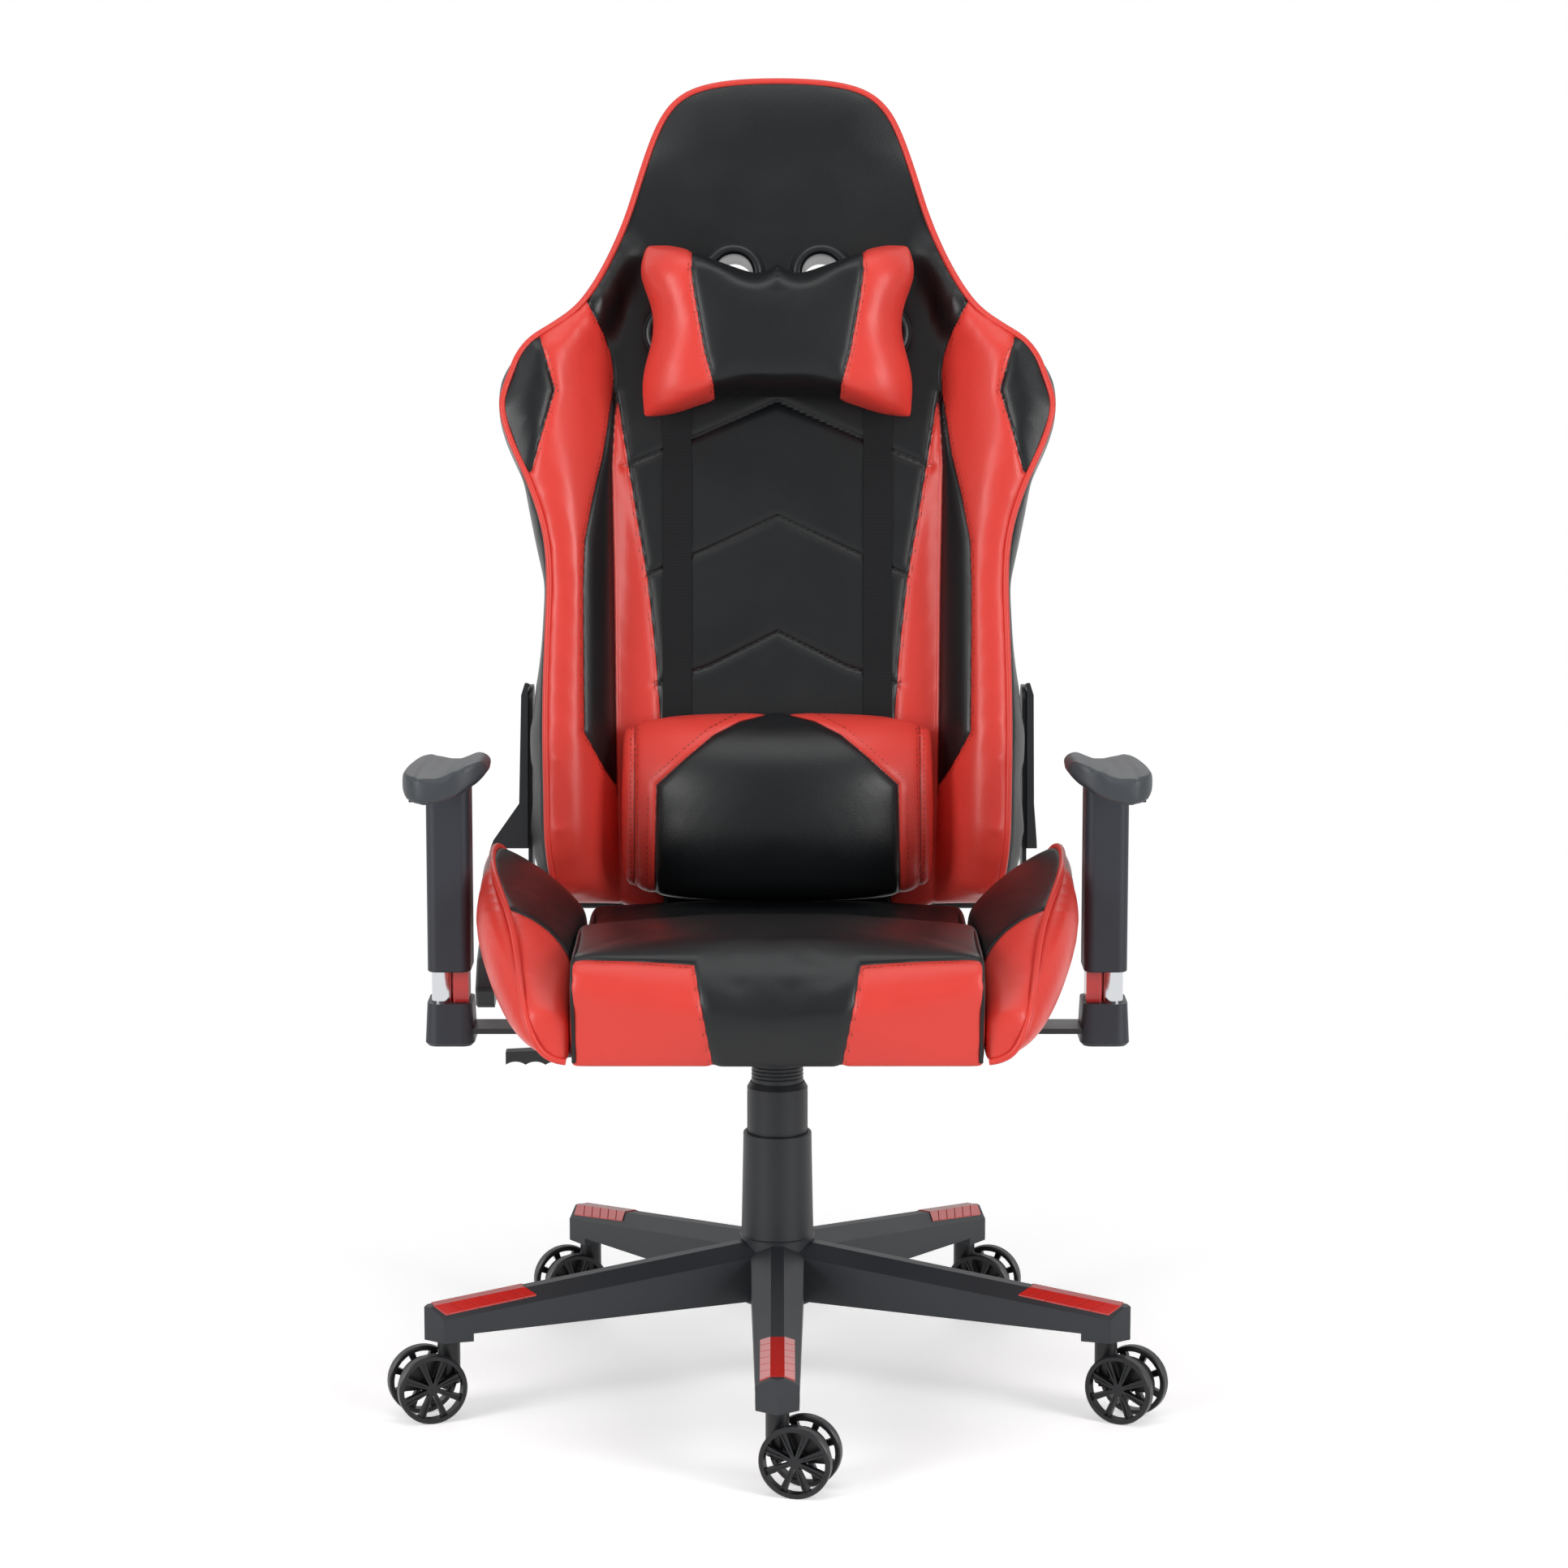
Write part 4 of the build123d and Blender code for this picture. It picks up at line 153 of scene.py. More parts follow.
def start_tree(owner):
    """Empty node tree of a material or a world."""
    owner.use_nodes = True
    owner.node_tree.nodes.clear()
    return owner.node_tree


def start_material(name):
    """New material with its tree, its shader and its object coordinates."""
    material = bpy.data.materials.new(name)
    tree = start_tree(material)
    shader = add_node(tree, "BsdfPrincipled")
    add_node(tree, "OutputMaterial", {"Surface": shader})
    return material, tree, shader, add_node(tree, "TexCoord").outputs["Object"]


def set_shader(tree, shader, **values):
    """Constants and links of the shader's own sockets, named with _ for a space."""
    for name, value in values.items():
        plug(tree, shader.inputs[name.replace("_", " ")], value)


def clouded(tree, place, code, scale, spread, detail=2.0):
    """A colour that is uneven by a share of its level, with the noise behind it."""
    cloud = add_node(tree, "TexNoise", {"Vector": place, "Scale": scale, "Detail": detail})
    shade = add_node(tree, "MapRange", {0: cloud, 3: 1 - spread, 4: 1 + spread})
    tint = add_node(tree, "Mix", {0: 1.0, 6: linear(code), 7: shade}, data_type="RGBA", blend_type="MULTIPLY")
    return tint.outputs[2], cloud


# how far the painted shade along a seam's crease, the groove and the thread reach on either side of their seam
CREASE_SHADE_REACH = 0.0009
GROOVE_REACH = 0.0028
THREAD_REACH = 0.0006
# share of a stitch that shows its thread
STITCH_SHARE = 0.62


@cache
def coated_fabric():
    """Polyurethane-coated fabric, embossed with a fine pebble grain.

    The cover's attributes say where things are: "red" is the distance inside a red panel, "seam" the
    distance to the nearest seam, "thread" to the nearest topstitch, and "run" the way along it.
    """
    material, tree, shader, place = start_material("coated_fabric_polyurethane")
    red, seam, thread_gap, run = (
        add_node(tree, "Attribute", attribute_name=said).outputs["Fac"] for said in ("red", "seam", "thread", "run")
    )
    # two dyes, each uneven by a few percent over about 70 mm, as coated rolls are
    cloud = add_node(tree, "TexNoise", {"Vector": place, "Scale": 14.0, "Detail": 3.0})
    shade = add_node(tree, "MapRange", {0: cloud, 3: 0.94, 4: 1.06})
    inside = add_node(tree, "Math", {0: red, 1: 0.0}, operation="GREATER_THAN")
    dyes = {6: linear(colours().black_cover), 7: linear(colours().red_cover)}
    dye = add_node(tree, "Mix", {0: inside, **dyes}, data_type="RGBA")
    # painted shade along the crease of every seam, over the joint of its needle line, and the dashes of the topstitch
    # beside it
    crease_shade_mask = add_node(tree, "Math", {0: seam, 1: CREASE_SHADE_REACH}, operation="LESS_THAN")
    stitches = add_node(tree, "Math", {0: run, 1: sizes().stitch_pitch}, operation="DIVIDE")
    phase = add_node(tree, "Math", {0: stitches}, operation="FRACT")
    dash = add_node(tree, "Math", {0: phase, 1: STITCH_SHARE}, operation="LESS_THAN")
    row = add_node(tree, "Math", {0: thread_gap, 1: THREAD_REACH}, operation="LESS_THAN")
    thread = add_node(tree, "Math", {0: row, 1: dash}, operation="MULTIPLY")
    # painted shade: the colour in a seam's crease is darkened by 60 %
    painted_crease_shade = add_node(tree, "Math", {0: crease_shade_mask, 1: 0.6}, operation="MULTIPLY")
    thread_shade = add_node(tree, "Math", {0: thread, 1: 0.55}, operation="MULTIPLY")
    darker = add_node(tree, "Math", {0: painted_crease_shade, 1: thread_shade}, operation="MAXIMUM")
    lighter = add_node(tree, "Math", {0: 1.0, 1: darker}, operation="SUBTRACT")
    level = add_node(tree, "Math", {0: shade, 1: lighter}, operation="MULTIPLY")
    toned = add_node(
        tree, "Mix", {0: 1.0, 6: dye.outputs[2], 7: level}, data_type="RGBA", blend_type="MULTIPLY",
    )
    # pebble grain, drawn about twice as coarse as real so that it shows; wear polishes it over about 110 mm
    grain = add_node(tree, "TexVoronoi", {"Vector": place, "Scale": 1 / sizes().grain}, feature="SMOOTH_F1")
    wear = add_node(tree, "TexNoise", {"Vector": place, "Scale": 9.0, "Detail": 5.0, "Roughness": 0.6})
    rough = add_node(tree, "MapRange", {0: wear, 1: 0.3, 2: 0.7, 3: 0.30, 4: 0.42})
    groove = add_node(tree, "MapRange", {0: seam, 1: 0.0, 2: GROOVE_REACH, 3: 0.0, 4: 1.0})
    fine = add_node(tree, "Bump", {"Strength": 0.16, "Distance": 0.0004, "Height": grain})
    deep = add_node(tree, "Bump", {"Strength": 0.8, "Distance": 0.0012, "Height": groove, "Normal": fine})
    raised = add_node(tree, "Bump", {"Strength": 0.4, "Distance": 0.0004, "Height": thread, "Normal": deep})
    set_shader(
        tree, shader, Base_Color=toned.outputs[2], Roughness=rough, Normal=raised, IOR=1.45, Specular_IOR_Level=0.42,
    )
    return material


@cache
def grained_plastic(name, code, rough=0.5, grain=0.0012, depth=0.35, specular=0.4):
    """Injection-moulded plastic with the spark-eroded grain of its mould, uneven over about 80 mm."""
    material, tree, shader, place = start_material(name)
    noise = add_node(tree, "TexNoise", {"Vector": place, "Scale": 1 / grain, "Detail": 2.0})
    tint, cloud = clouded(tree, place, code, 12.0, 0.1, detail=3.0)
    gloss = add_node(tree, "MapRange", {0: cloud, 3: rough - 0.05, 4: rough + 0.07})
    bump = add_node(tree, "Bump", {"Strength": depth, "Distance": 0.0002, "Height": noise})
    set_shader(tree, shader, Base_Color=tint, Roughness=gloss, Normal=bump, IOR=1.5, Specular_IOR_Level=specular)
    return material


@cache
def glossy_plastic(name, code, rough=0.14):
    """Polished ABS: a clear surface with orange peel about 4 mm wide."""
    material, tree, shader, place = start_material(name)
    peel = add_node(tree, "TexNoise", {"Vector": place, "Scale": 260.0, "Detail": 1.0})
    tint, _ = clouded(tree, place, code, 30.0, 0.08)
    bump = add_node(tree, "Bump", {"Strength": 0.12, "Distance": 0.0002, "Height": peel})
    set_shader(
        tree, shader, Base_Color=tint, Normal=bump, Roughness=rough, IOR=1.5, Coat_Weight=0.6, Coat_Roughness=0.08,
    )
    return material


@cache
def steel(name, code, metallic=1.0, rough=0.3, grain=0.0006):
    """Steel: plated, zinc-bright or stoved black; fine drawing marks break up its gloss."""
    material, tree, shader, place = start_material(name)
    marks = add_node(tree, "TexNoise", {"Vector": place, "Scale": 1 / grain, "Detail": 2.0})
    patch = add_node(tree, "TexNoise", {"Vector": place, "Scale": 20.0, "Detail": 4.0})
    gloss = add_node(tree, "MapRange", {0: patch, 3: rough * 0.8, 4: rough * 1.25})
    bump = add_node(tree, "Bump", {"Strength": 0.1, "Distance": 0.0001, "Height": marks})
    set_shader(tree, shader, Base_Color=linear(code), Metallic=metallic, Roughness=gloss, Normal=bump)
    return material


# spacing of the webbing's ribs, drawn about twice as coarse as real, and that of a wave texture at scale 1
RIB_SPACING = 0.0031567
WAVE_SPACING = math.tau / 20


@cache
def woven_webbing():
    """Plain-woven polypropylene webbing: fine ribs across the strap, which look flat black."""
    material, tree, shader, place = start_material("polypropylene_webbing")
    wave = {"Vector": place, "Scale": WAVE_SPACING / RIB_SPACING, "Distortion": 0.6}
    ribs = add_node(tree, "TexWave", wave, bands_direction="Z").outputs["Fac"]
    tint = add_node(tree, "Mix", {0: ribs, 6: linear("#17181A"), 7: linear("#1B1C1E")}, data_type="RGBA")
    bump = add_node(tree, "Bump", {"Strength": 0.15, "Distance": 0.0002, "Height": ribs})
    set_shader(tree, shader, Base_Color=tint.outputs[2], Normal=bump, Roughness=0.8, Specular_IOR_Level=0.2)
    return material


def give_material(mesh, material):
    """Makes a material the only one of a mesh."""
    mesh.materials.clear()
    mesh.materials.append(material)


def dress_nodes(material, *nodes):
    """Puts one material on carried-over CAD nodes."""
    for name in nodes:
        give_material(frame["nodes"][name].data, material)


# ------------------------------------------------------------ shared modelling

CLOTH_STIFFNESS = 18.0
# what a cover's material reads where it is all red or all black, and far from any seam
ALL_RED = 0.05
ALL_BLACK = -0.05
NO_SEAM = 1.0
# distance of a topstitch from its seam
TOPSTITCH = 0.003


def link(name, data):
    """New object of a mesh, curve, lamp or camera, in the scene."""
    piece = bpy.data.objects.new(name, data)
    bpy.context.collection.objects.link(piece)
    return piece


def link_bmesh(name, work):
    """New object of a bmesh, which is used up."""
    mesh = bpy.data.meshes.new(name)
    work.to_mesh(mesh)
    work.free()
    return link(name, mesh)


def extrude_row(work, edges):
    """Grows faces from a row of edges; gives the new row's verts and edges."""
    grown = bmesh.ops.extrude_edge_only(work, edges=edges)["geom"]
    return [[item for item in grown if isinstance(item, kind)] for kind in (bmesh.types.BMVert, bmesh.types.BMEdge)]


def bake_modifiers(piece):
    """Applies every modifier of a piece to its mesh."""
    shaped = piece.evaluated_get(bpy.context.evaluated_depsgraph_get())
    mesh = bpy.data.meshes.new_from_object(shaped)
    piece.modifiers.clear()
    old = piece.data
    piece.data = mesh
    bpy.data.meshes.remove(old)


def add_modifier(piece, kind, **settings):
    """Adds a modifier with its settings."""
    return put(piece.modifiers.new(kind.lower(), kind), **settings)


def points_of(mesh):
    """Vertex positions as an array."""
    places = np.empty(len(mesh.vertices) * 3)
    mesh.vertices.foreach_get("co", places)
    return places.reshape(-1, 3)


def move_points(mesh, places):
    """Puts the vertices at new positions."""
    mesh.vertices.foreach_set("co", places.ravel())
    mesh.update()


def normals_of(mesh):
    """Vertex normals as an array."""
    normals = np.empty(len(mesh.vertices) * 3)
    mesh.vertex_normals.foreach_get("vector", normals)
    return normals.reshape(-1, 3)


def ramp(values, width):
    """Rises from 0 to 1 over a width."""
    return np.clip(values / width, 0, 1)


def bell(gap, width):
    """Falls from 1 to 0 with distance, a third being left at the width."""
    return np.exp(-(gap / width) ** 2)


def store(mesh, **fields):
    """Saves numbers per vertex, or one for all, as the attributes that the cover's material reads."""
    for name, values in fields.items():
        layer = mesh.attributes.new(name, "FLOAT", "POINT")
        layer.data.foreach_set("value", np.full(len(mesh.vertices), values, dtype=np.float32))


def solid_copy(name, node, clean=None):
    """Merged copy of a node's solid as a new piece; clean may edit its bmesh."""
    work = bmesh.new()
    work.from_mesh(frame["nodes"][node].data)
    bmesh.ops.remove_doubles(work, verts=work.verts, dist=0.00002)
    if clean:
        clean(work)
    return link_bmesh(name, work)


def soften(piece, voxel, rounds):
    """Even mesh over a hard shape, its facets smoothed away."""
    add_modifier(piece, "REMESH", mode="VOXEL", voxel_size=voxel)
    add_modifier(piece, "SMOOTH", factor=0.5, iterations=rounds)
    bake_modifiers(piece)


def weigh(piece, name, weights):
    """Vertex group with one weight per vertex."""
    group = piece.vertex_groups.new(name=name)
    for index in np.flatnonzero(weights > 0.02):
        group.add([int(index)], float(weights[index]), "REPLACE")


def stuff(piece, held, pressure, cap, frames=14, slack=0.0, calm=6):
    """Fills a cover by cloth simulation; held is 1 where a seam or the base holds it, 0 where it is free.

    Nothing moves by more than cap. Afterwards the free areas are smoothed for a few rounds, as foam under
    the cover does.
    """
    before = points_of(piece.data)
    held = np.clip(held, 0, 1)
    weigh(piece, "held", held)
    weigh(piece, "free", 1 - held)
    cloth = add_modifier(piece, "CLOTH")
    put(
        cloth.settings, vertex_group_mass="held", quality=5, mass=0.25, tension_stiffness=CLOTH_STIFFNESS,
        compression_stiffness=CLOTH_STIFFNESS, shear_stiffness=CLOTH_STIFFNESS / 2, bending_stiffness=1.5,
        shrink_min=-slack, use_pressure=True, uniform_pressure_force=pressure,
    )
    cloth.settings.effector_weights.gravity = 0.0
    cloth.collision_settings.use_collision = False
    put(cloth.point_cache, frame_start=1, frame_end=frames)
    scene = bpy.context.scene
    for number in range(1, frames + 1):
        scene.frame_set(number)
    bake_modifiers(piece)
    scene.frame_set(1)
    moved = points_of(piece.data) - before
    length = np.linalg.norm(moved, axis=1, keepdims=True)
    move_points(piece.data, before + moved * np.minimum(1, cap / np.maximum(length, 1e-9)))
    add_modifier(piece, "SMOOTH", factor=0.5, iterations=calm, vertex_group="free")
    bake_modifiers(piece)
    piece.vertex_groups.clear()


def nearest_on(places, line):
    """Distance, place and direction of the nearest point of a 3-D line, and its run along the line."""
    gap = np.full(len(places), np.inf)
    near = np.zeros((len(places), 3))
    way = np.zeros((len(places), 3))
    run = np.zeros(len(places))
    done = 0.0
    for start, end in zip(line, line[1:]):
        start, leg = np.array(start), np.array(end) - np.array(start)
        length = np.linalg.norm(leg)
        share = np.clip((places - start) @ leg / length ** 2, 0, 1)
        spot = start + share[:, None] * leg
        reach = np.linalg.norm(places - spot, axis=1)
        closer = reach < gap
        gap = np.where(closer, reach, gap)
        near[closer] = spot[closer]
        way[closer] = leg / length
        run = np.where(closer, done + share * length, run)
        done += length
    return gap, near, way, run


def pull_to(piece, line, reach, share=0.85):
    """Draws the surface beside a line of points onto it, which leaves a crisp ridge for its piping."""
    places = points_of(piece.data)
    gap, near, _, _ = nearest_on(places, line)
    move_points(piece.data, places + (share * bell(gap, reach))[:, None] * (near - places))


def snap(piece, line, rise):
    """Puts a line of points on a piece's surface, raised by a little."""
    tree = BVHTree.FromObject(piece, bpy.context.evaluated_depsgraph_get())
    placed = []
    for point in line:
        spot, normal, _, _ = tree.find_nearest(Vector(point))
        placed.append(spot + rise * normal)
    return placed


def refine(piece):
    """One smooth subdivision, so that seams read crisply."""
    add_modifier(piece, "SUBSURF", levels=1, render_levels=1)
    bake_modifiers(piece)


def line_distance(points, line):
    """Signed distance of 2-D points to a line of corners, with the run along it; + is left of the line."""
    corners = [np.array(c, dtype=float) for c in line]
    best = np.full(len(points), np.inf)
    signed = np.full(len(points), np.inf)
    along = np.zeros(len(points))
    done = 0.0
    for start, end in zip(corners, corners[1:]):
        leg = end - start
        length = np.hypot(*leg)
        gap = points - start
        share = np.clip(gap @ leg / length ** 2, 0, 1)
        off = gap - share[:, None] * leg
        reach = np.hypot(off[:, 0], off[:, 1])
        near = reach < best
        side = np.sign(leg[0] * gap[:, 1] - leg[1] * gap[:, 0])
        best = np.where(near, reach, best)
        signed = np.where(near, reach * np.where(side == 0, 1, side), signed)
        along = np.where(near, done + share * length, along)
        done += length
    return signed, along


def panel_distance(points, corners):
    """Distance inside a closed panel, negative outside, with the run along its edge."""
    edge = [*corners, corners[0]]
    signed, along = line_distance(points, edge)
    inside = np.zeros(len(points), dtype=bool)
    x, y = points[:, 0], points[:, 1]
    for (ax, ay), (bx, by) in zip(edge, edge[1:]):
        crosses = (ay > y) != (by > y)
        with np.errstate(divide="ignore", invalid="ignore"):
            inside ^= crosses & (x < (bx - ax) * (y - ay) / (by - ay + 1e-12) + ax)
    return np.abs(signed) * np.where(inside, 1, -1), along


def merge_panels(points, panels):
    """Distance inside the union of panels, with the run along the nearest edge."""
    red = np.full(len(points), -1.0)
    run = np.zeros(len(points))
    nearest = np.full(len(points), np.inf)
    for corners in panels:
        inside, along = panel_distance(points, corners)
        red = np.maximum(red, inside)
        near = np.abs(inside) < nearest
        nearest = np.where(near, np.abs(inside), nearest)
        run = np.where(near, along, run)
    return red, run


def merge_lines(points, lines):
    """Signed distance to the nearest of several seams, with the run along it."""
    gap = np.full(len(points), 1.0)
    run = np.zeros(len(points))
    for line in lines:
        signed, along = line_distance(points, line)
        near = np.abs(signed) < np.abs(gap)
        gap = np.where(near, signed, gap)
        run = np.where(near, along, run)
    return gap, run


def both_sides(*shapes):
    """Shapes given for +x, with their mirror images."""
    return [*shapes, *[[(-x, y) for x, y in shape] for shape in shapes]]


def sew(piece, red, seam, thread, run, groove=0.0015, width=0.004):
    """Stores what the cover's material reads and presses every seam in."""
    mesh = piece.data
    move_points(mesh, points_of(mesh) - (groove * bell(seam, width))[:, None] * normals_of(mesh))
    store(mesh, red=red, seam=seam, thread=thread, run=run)


def finish_cover(piece, node, body, material=None):
    """Material, smooth shading and the frame's bookkeeping of a padded piece."""
    give_material(piece.data, material or coated_fabric())
    piece.data.shade_smooth()
    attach(piece, body)
    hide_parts(node)


def piping(name, line, body, red=True, diameter=None):
    """Sewn-in cord along a line of 3-D points."""
    path = bpy.data.curves.new(name, "CURVE")
    put(path, dimensions="3D", bevel_depth=(diameter or sizes().piping_d) / 2, bevel_resolution=3, use_fill_caps=True)
    spline = path.splines.new("NURBS")
    spline.points.add(len(line) - 1)
    for point, place in zip(spline.points, line):
        point.co = (*place, 1)
    put(spline, order_u=3, use_endpoint_u=True, resolution_u=4)
    carrier = link(name + "_path", path)
    mesh = bpy.data.meshes.new_from_object(carrier.evaluated_get(bpy.context.evaluated_depsgraph_get()))
    bpy.data.objects.remove(carrier)
    piece = link(name, mesh)
    store(mesh, red=ALL_RED if red else ALL_BLACK, seam=NO_SEAM, thread=NO_SEAM, run=1.0)
    give_material(mesh, coated_fabric())
    mesh.shade_smooth()
    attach(piece, body)


def to_back(places):
    """x, h and n of positions, as columns."""
    shifted = places - np.array(BACK_FOOT)
    return np.column_stack((places[:, 0], shifted @ np.array(BACK_UP), shifted @ np.array(BACK_AHEAD)))


def chart_of(piece):
    """x, h and n of a piece's vertices."""
    return to_back(points_of(piece.data))


def from_back(x, h, n):
    """Position of back coordinates."""
    return BACK_FOOT + Vector((x, 0, 0)) + h * BACK_UP + n * BACK_AHEAD


# ------------------------------------------------------------ seat

# red side piece of the cushion's front, as (x, z) for the +x side
CUSHION_RED = ((0.0726, 0.4613), (0.120, 0.4672), (0.1765, 0.4713), (0.22, 0.474), (0.22, 0.35), (0.053, 0.35))
# rear edge of the cushion's crown: how far it reaches to each side, and its height
CUSHION_REAR_X = 0.176
CUSHION_REAR_Z = 0.4345
# corner of the cushion's top where it meets the bolster, rear to front and down: (x, y, z)
CUSHION_EDGE = (
    (0.179, 0.13, 0.436), (0.1795, 0.05, 0.447), (0.180, -0.05, 0.460), (0.1805, -0.15, 0.4695),
    (0.181, -0.22, 0.4725), (0.181, -0.262, 0.469), (0.1805, -0.280, 0.454), (0.180, -0.2845, 0.43),
    (0.180, -0.283, 0.40), (0.180, -0.279, 0.373),
)


class CHAIR_OT_seat_cushion(Operator):
    """Seat cushion: black crown, black and red front"""

    bl_idname = "chair.seat_cushion"
    bl_label = "Seat cushion"

    def execute(self, context):
        piece = solid_copy("cushion_cover", "seat_cushion")
        low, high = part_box("seat_cushion")
        soften(piece, 0.005, 8)
        rear = [(x, high.y - 0.001, CUSHION_REAR_Z) for x in (-CUSHION_REAR_X, CUSHION_REAR_X)]
        pull_to(piece, rear, 0.014)
        # the board holds the underside and its lip, the bolsters hold the ends
        places = points_of(piece.data)
        under = ramp(low.z + 0.03 - places[:, 2], 0.008) * (normals_of(piece.data)[:, 2] < -0.3)
        lip = ramp(low.z + 0.008 - places[:, 2], 0.006)
        ends = ramp(np.abs(places[:, 0]) - high.x + 0.004, 0.003)
        stuff(piece, under + lip + 0.9 * ends, pressure=2.6, cap=0.009, calm=10)
        refine(piece)
        places = points_of(piece.data)
        red, run = merge_panels(places[:, [0, 2]], both_sides(CUSHION_RED))
        ahead = places[:, 1] < low.y + 0.06
        red = np.where(ahead, np.minimum(red, low.y + 0.020 - places[:, 1]), ALL_BLACK)
        # a topstitch runs across the rounding behind the front panels
        over = np.where(places[:, 2] > 0.45, np.abs(places[:, 1] - (low.y + 0.034)), NO_SEAM)
        run = np.where(over < 0.006, places[:, 0] + 1, run)
        sew(piece, red, np.abs(red), np.minimum(over, np.abs(red - TOPSTITCH)), run, groove=0.0018)
        finish_cover(piece, "seat_cushion", "seat")
        for hand, side in HANDS:
            edge = snap(piece, [(side * x, y, z) for x, y, z in CUSHION_EDGE], 0.0006)
            piping(f"cushion_piping_{hand}", edge, "seat", red=False, diameter=0.0038)
        return {"FINISHED"}


# crest of a bolster, where its piping runs: (x, y, z) of the left one, rear to front and down
BOLSTER_CREST = (
    (0.248, 0.119, 0.472), (0.2575, 0.100, 0.4935), (0.263, 0.070, 0.507), (0.266, 0.03, 0.5135),
    (0.266, -0.01, 0.5135), (0.262, -0.055, 0.507), (0.254, -0.10, 0.4965), (0.2435, -0.145, 0.4835),
    (0.2345, -0.19, 0.467), (0.2275, -0.235, 0.4455), (0.2225, -0.262, 0.423), (0.2165, -0.274, 0.400),
    (0.207, -0.276, 0.382), (0.194, -0.277, 0.3715), (0.1835, -0.277, 0.3690),
)
# seam between a bolster's black top and its red front: (x, y), crest to cushion
BOLSTER_SEAM = ((0.26, -0.128), (0.242, -0.138), (0.220, -0.150), (0.204, -0.163), (0.192, -0.178), (0.17, -0.215))
# a bolster's inner face, beyond which the cushion holds it
BOLSTER_INNER_X = 0.186


class CHAIR_OT_seat_bolsters(Operator):
    """Side bolsters: red outside and in front, black on top, piped along the crest"""

    bl_idname = "chair.seat_bolsters"
    bl_label = "Seat bolsters"

    def execute(self, context):
        for hand, side in HANDS:
            node = f"seat_bolster_{hand}"
            piece = solid_copy(f"bolster_cover_{hand}", node)
            soften(piece, 0.0045, 10)
            crest = [(x * side, y, z) for x, y, z in BOLSTER_CREST]
            pull_to(piece, crest, 0.009)
            places = points_of(piece.data)
            held = bell(nearest_on(places, crest)[0], 0.006) + ramp(BOLSTER_INNER_X - np.abs(places[:, 0]), 0.003)
            stuff(piece, held, pressure=3.0, cap=0.007, slack=0.001, calm=12)
            refine(piece)
            crest = snap(piece, crest, 0.0012)
            piping(f"bolster_piping_{hand}", crest, "seat")
            places = points_of(piece.data)
            gap, near, way, run = nearest_on(places, crest)
            # outboard of the crest is square to it, away from the middle of the bolster
            core = places * (0, 1, 0) + (side * 0.20, 0.04, 0.42)
            out = np.cross(near - core, way) * side
            outboard = np.sign(np.einsum("ij,ij->i", places - near, out)) * gap
            line = [(side * x, y) for x, y in BOLSTER_SEAM]
            slant, _ = line_distance(places[:, :2], line if side > 0 else line[::-1])
            seam = np.where(outboard > 0, gap, np.minimum(gap, np.abs(slant)))
            thread = np.where(outboard > 0, NO_SEAM, np.abs(slant - TOPSTITCH))
            sew(piece, np.maximum(outboard, slant), seam, thread, run, groove=0.0012)
            finish_cover(piece, node, "seat")
        return {"FINISHED"}


# ------------------------------------------------------------ back

# panels and seams of the back's front as (x, h) for the +x side
WING_RED = (
    (0.187, 0.580), (0.177, 0.563), (0.168, 0.546), (0.1615, 0.527), (0.1595, 0.510), (0.160, 0.492), (0.168, 0.430),
    (0.1775, 0.385), (0.185, 0.342), (0.1862, 0.300), (0.186, 0.255), (0.185, 0.157), (0.166, 0.122), (0.155, 0.105),
    (0.152, 0.05), (0.150, -0.03), (0.30, -0.03), (0.30, 0.39), (0.238, 0.408), (0.214, 0.488), (0.230, 0.540),
    (0.240, 0.60),
)
WEDGE_RED = (
    (0.157, 0.492), (0.1456, 0.420), (0.136, 0.360), (0.127, 0.308), (0.1195, 0.24), (0.1146, 0.175), (0.112, 0.09),
    (0.111, -0.03), (0.1545, -0.03), (0.1555, 0.12), (0.1575, 0.30), (0.1600, 0.42),
)
CHEVRONS = (
    ((0.150, 0.418), (0.078, 0.448), (0.0, 0.482), (-0.078, 0.448), (-0.150, 0.418)),
    ((0.129, 0.311), (0.071, 0.336), (0.0, 0.369), (-0.071, 0.336), (-0.129, 0.311)),
    ((0.120, 0.205), (0.066, 0.223), (0.0, 0.256), (-0.066, 0.223), (-0.120, 0.205)),
)
# piped edge between the front and the sides, foot to crown: (h, x, n)
BACK_EDGE = (
    (0.000, 0.2150, 0.027), (0.018, 0.2190, 0.036), (0.036, 0.2215, 0.045), (0.060, 0.2235, 0.052),
    (0.100, 0.2242, 0.0555), (0.150, 0.2245, 0.0576), (0.200, 0.2240, 0.0567), (0.250, 0.2225, 0.055),
    (0.300, 0.2205, 0.054), (0.336, 0.2215, 0.055), (0.366, 0.2275, 0.0560), (0.400, 0.2405, 0.0570),
    (0.430, 0.2550, 0.0575), (0.455, 0.2645, 0.0570), (0.475, 0.2685, 0.0560), (0.492, 0.2680, 0.0545),
    (0.508, 0.2630, 0.0525), (0.523, 0.2530, 0.0500), (0.538, 0.2380, 0.0455), (0.553, 0.2170, 0.0400),
    (0.569, 0.1950, 0.0325), (0.590, 0.1780, 0.0235), (0.620, 0.1625, 0.0120), (0.660, 0.1470, 0.0015),
    (0.708, 0.1315, -0.001), (0.742, 0.1195, -0.001), (0.764, 0.1090, -0.001), (0.779, 0.0950, -0.001),
    (0.788, 0.0760, -0.001), (0.7935, 0.0450, -0.001), (0.7955, 0.0, -0.001),
)
CROWN_H = 0.797
# the back's front lies ahead of this n
FRONT_N = -0.012
# bolt studs in the sides of the back
STUD_HEIGHTS = (0.068, 0.149)
STUD_AHEAD = -0.039
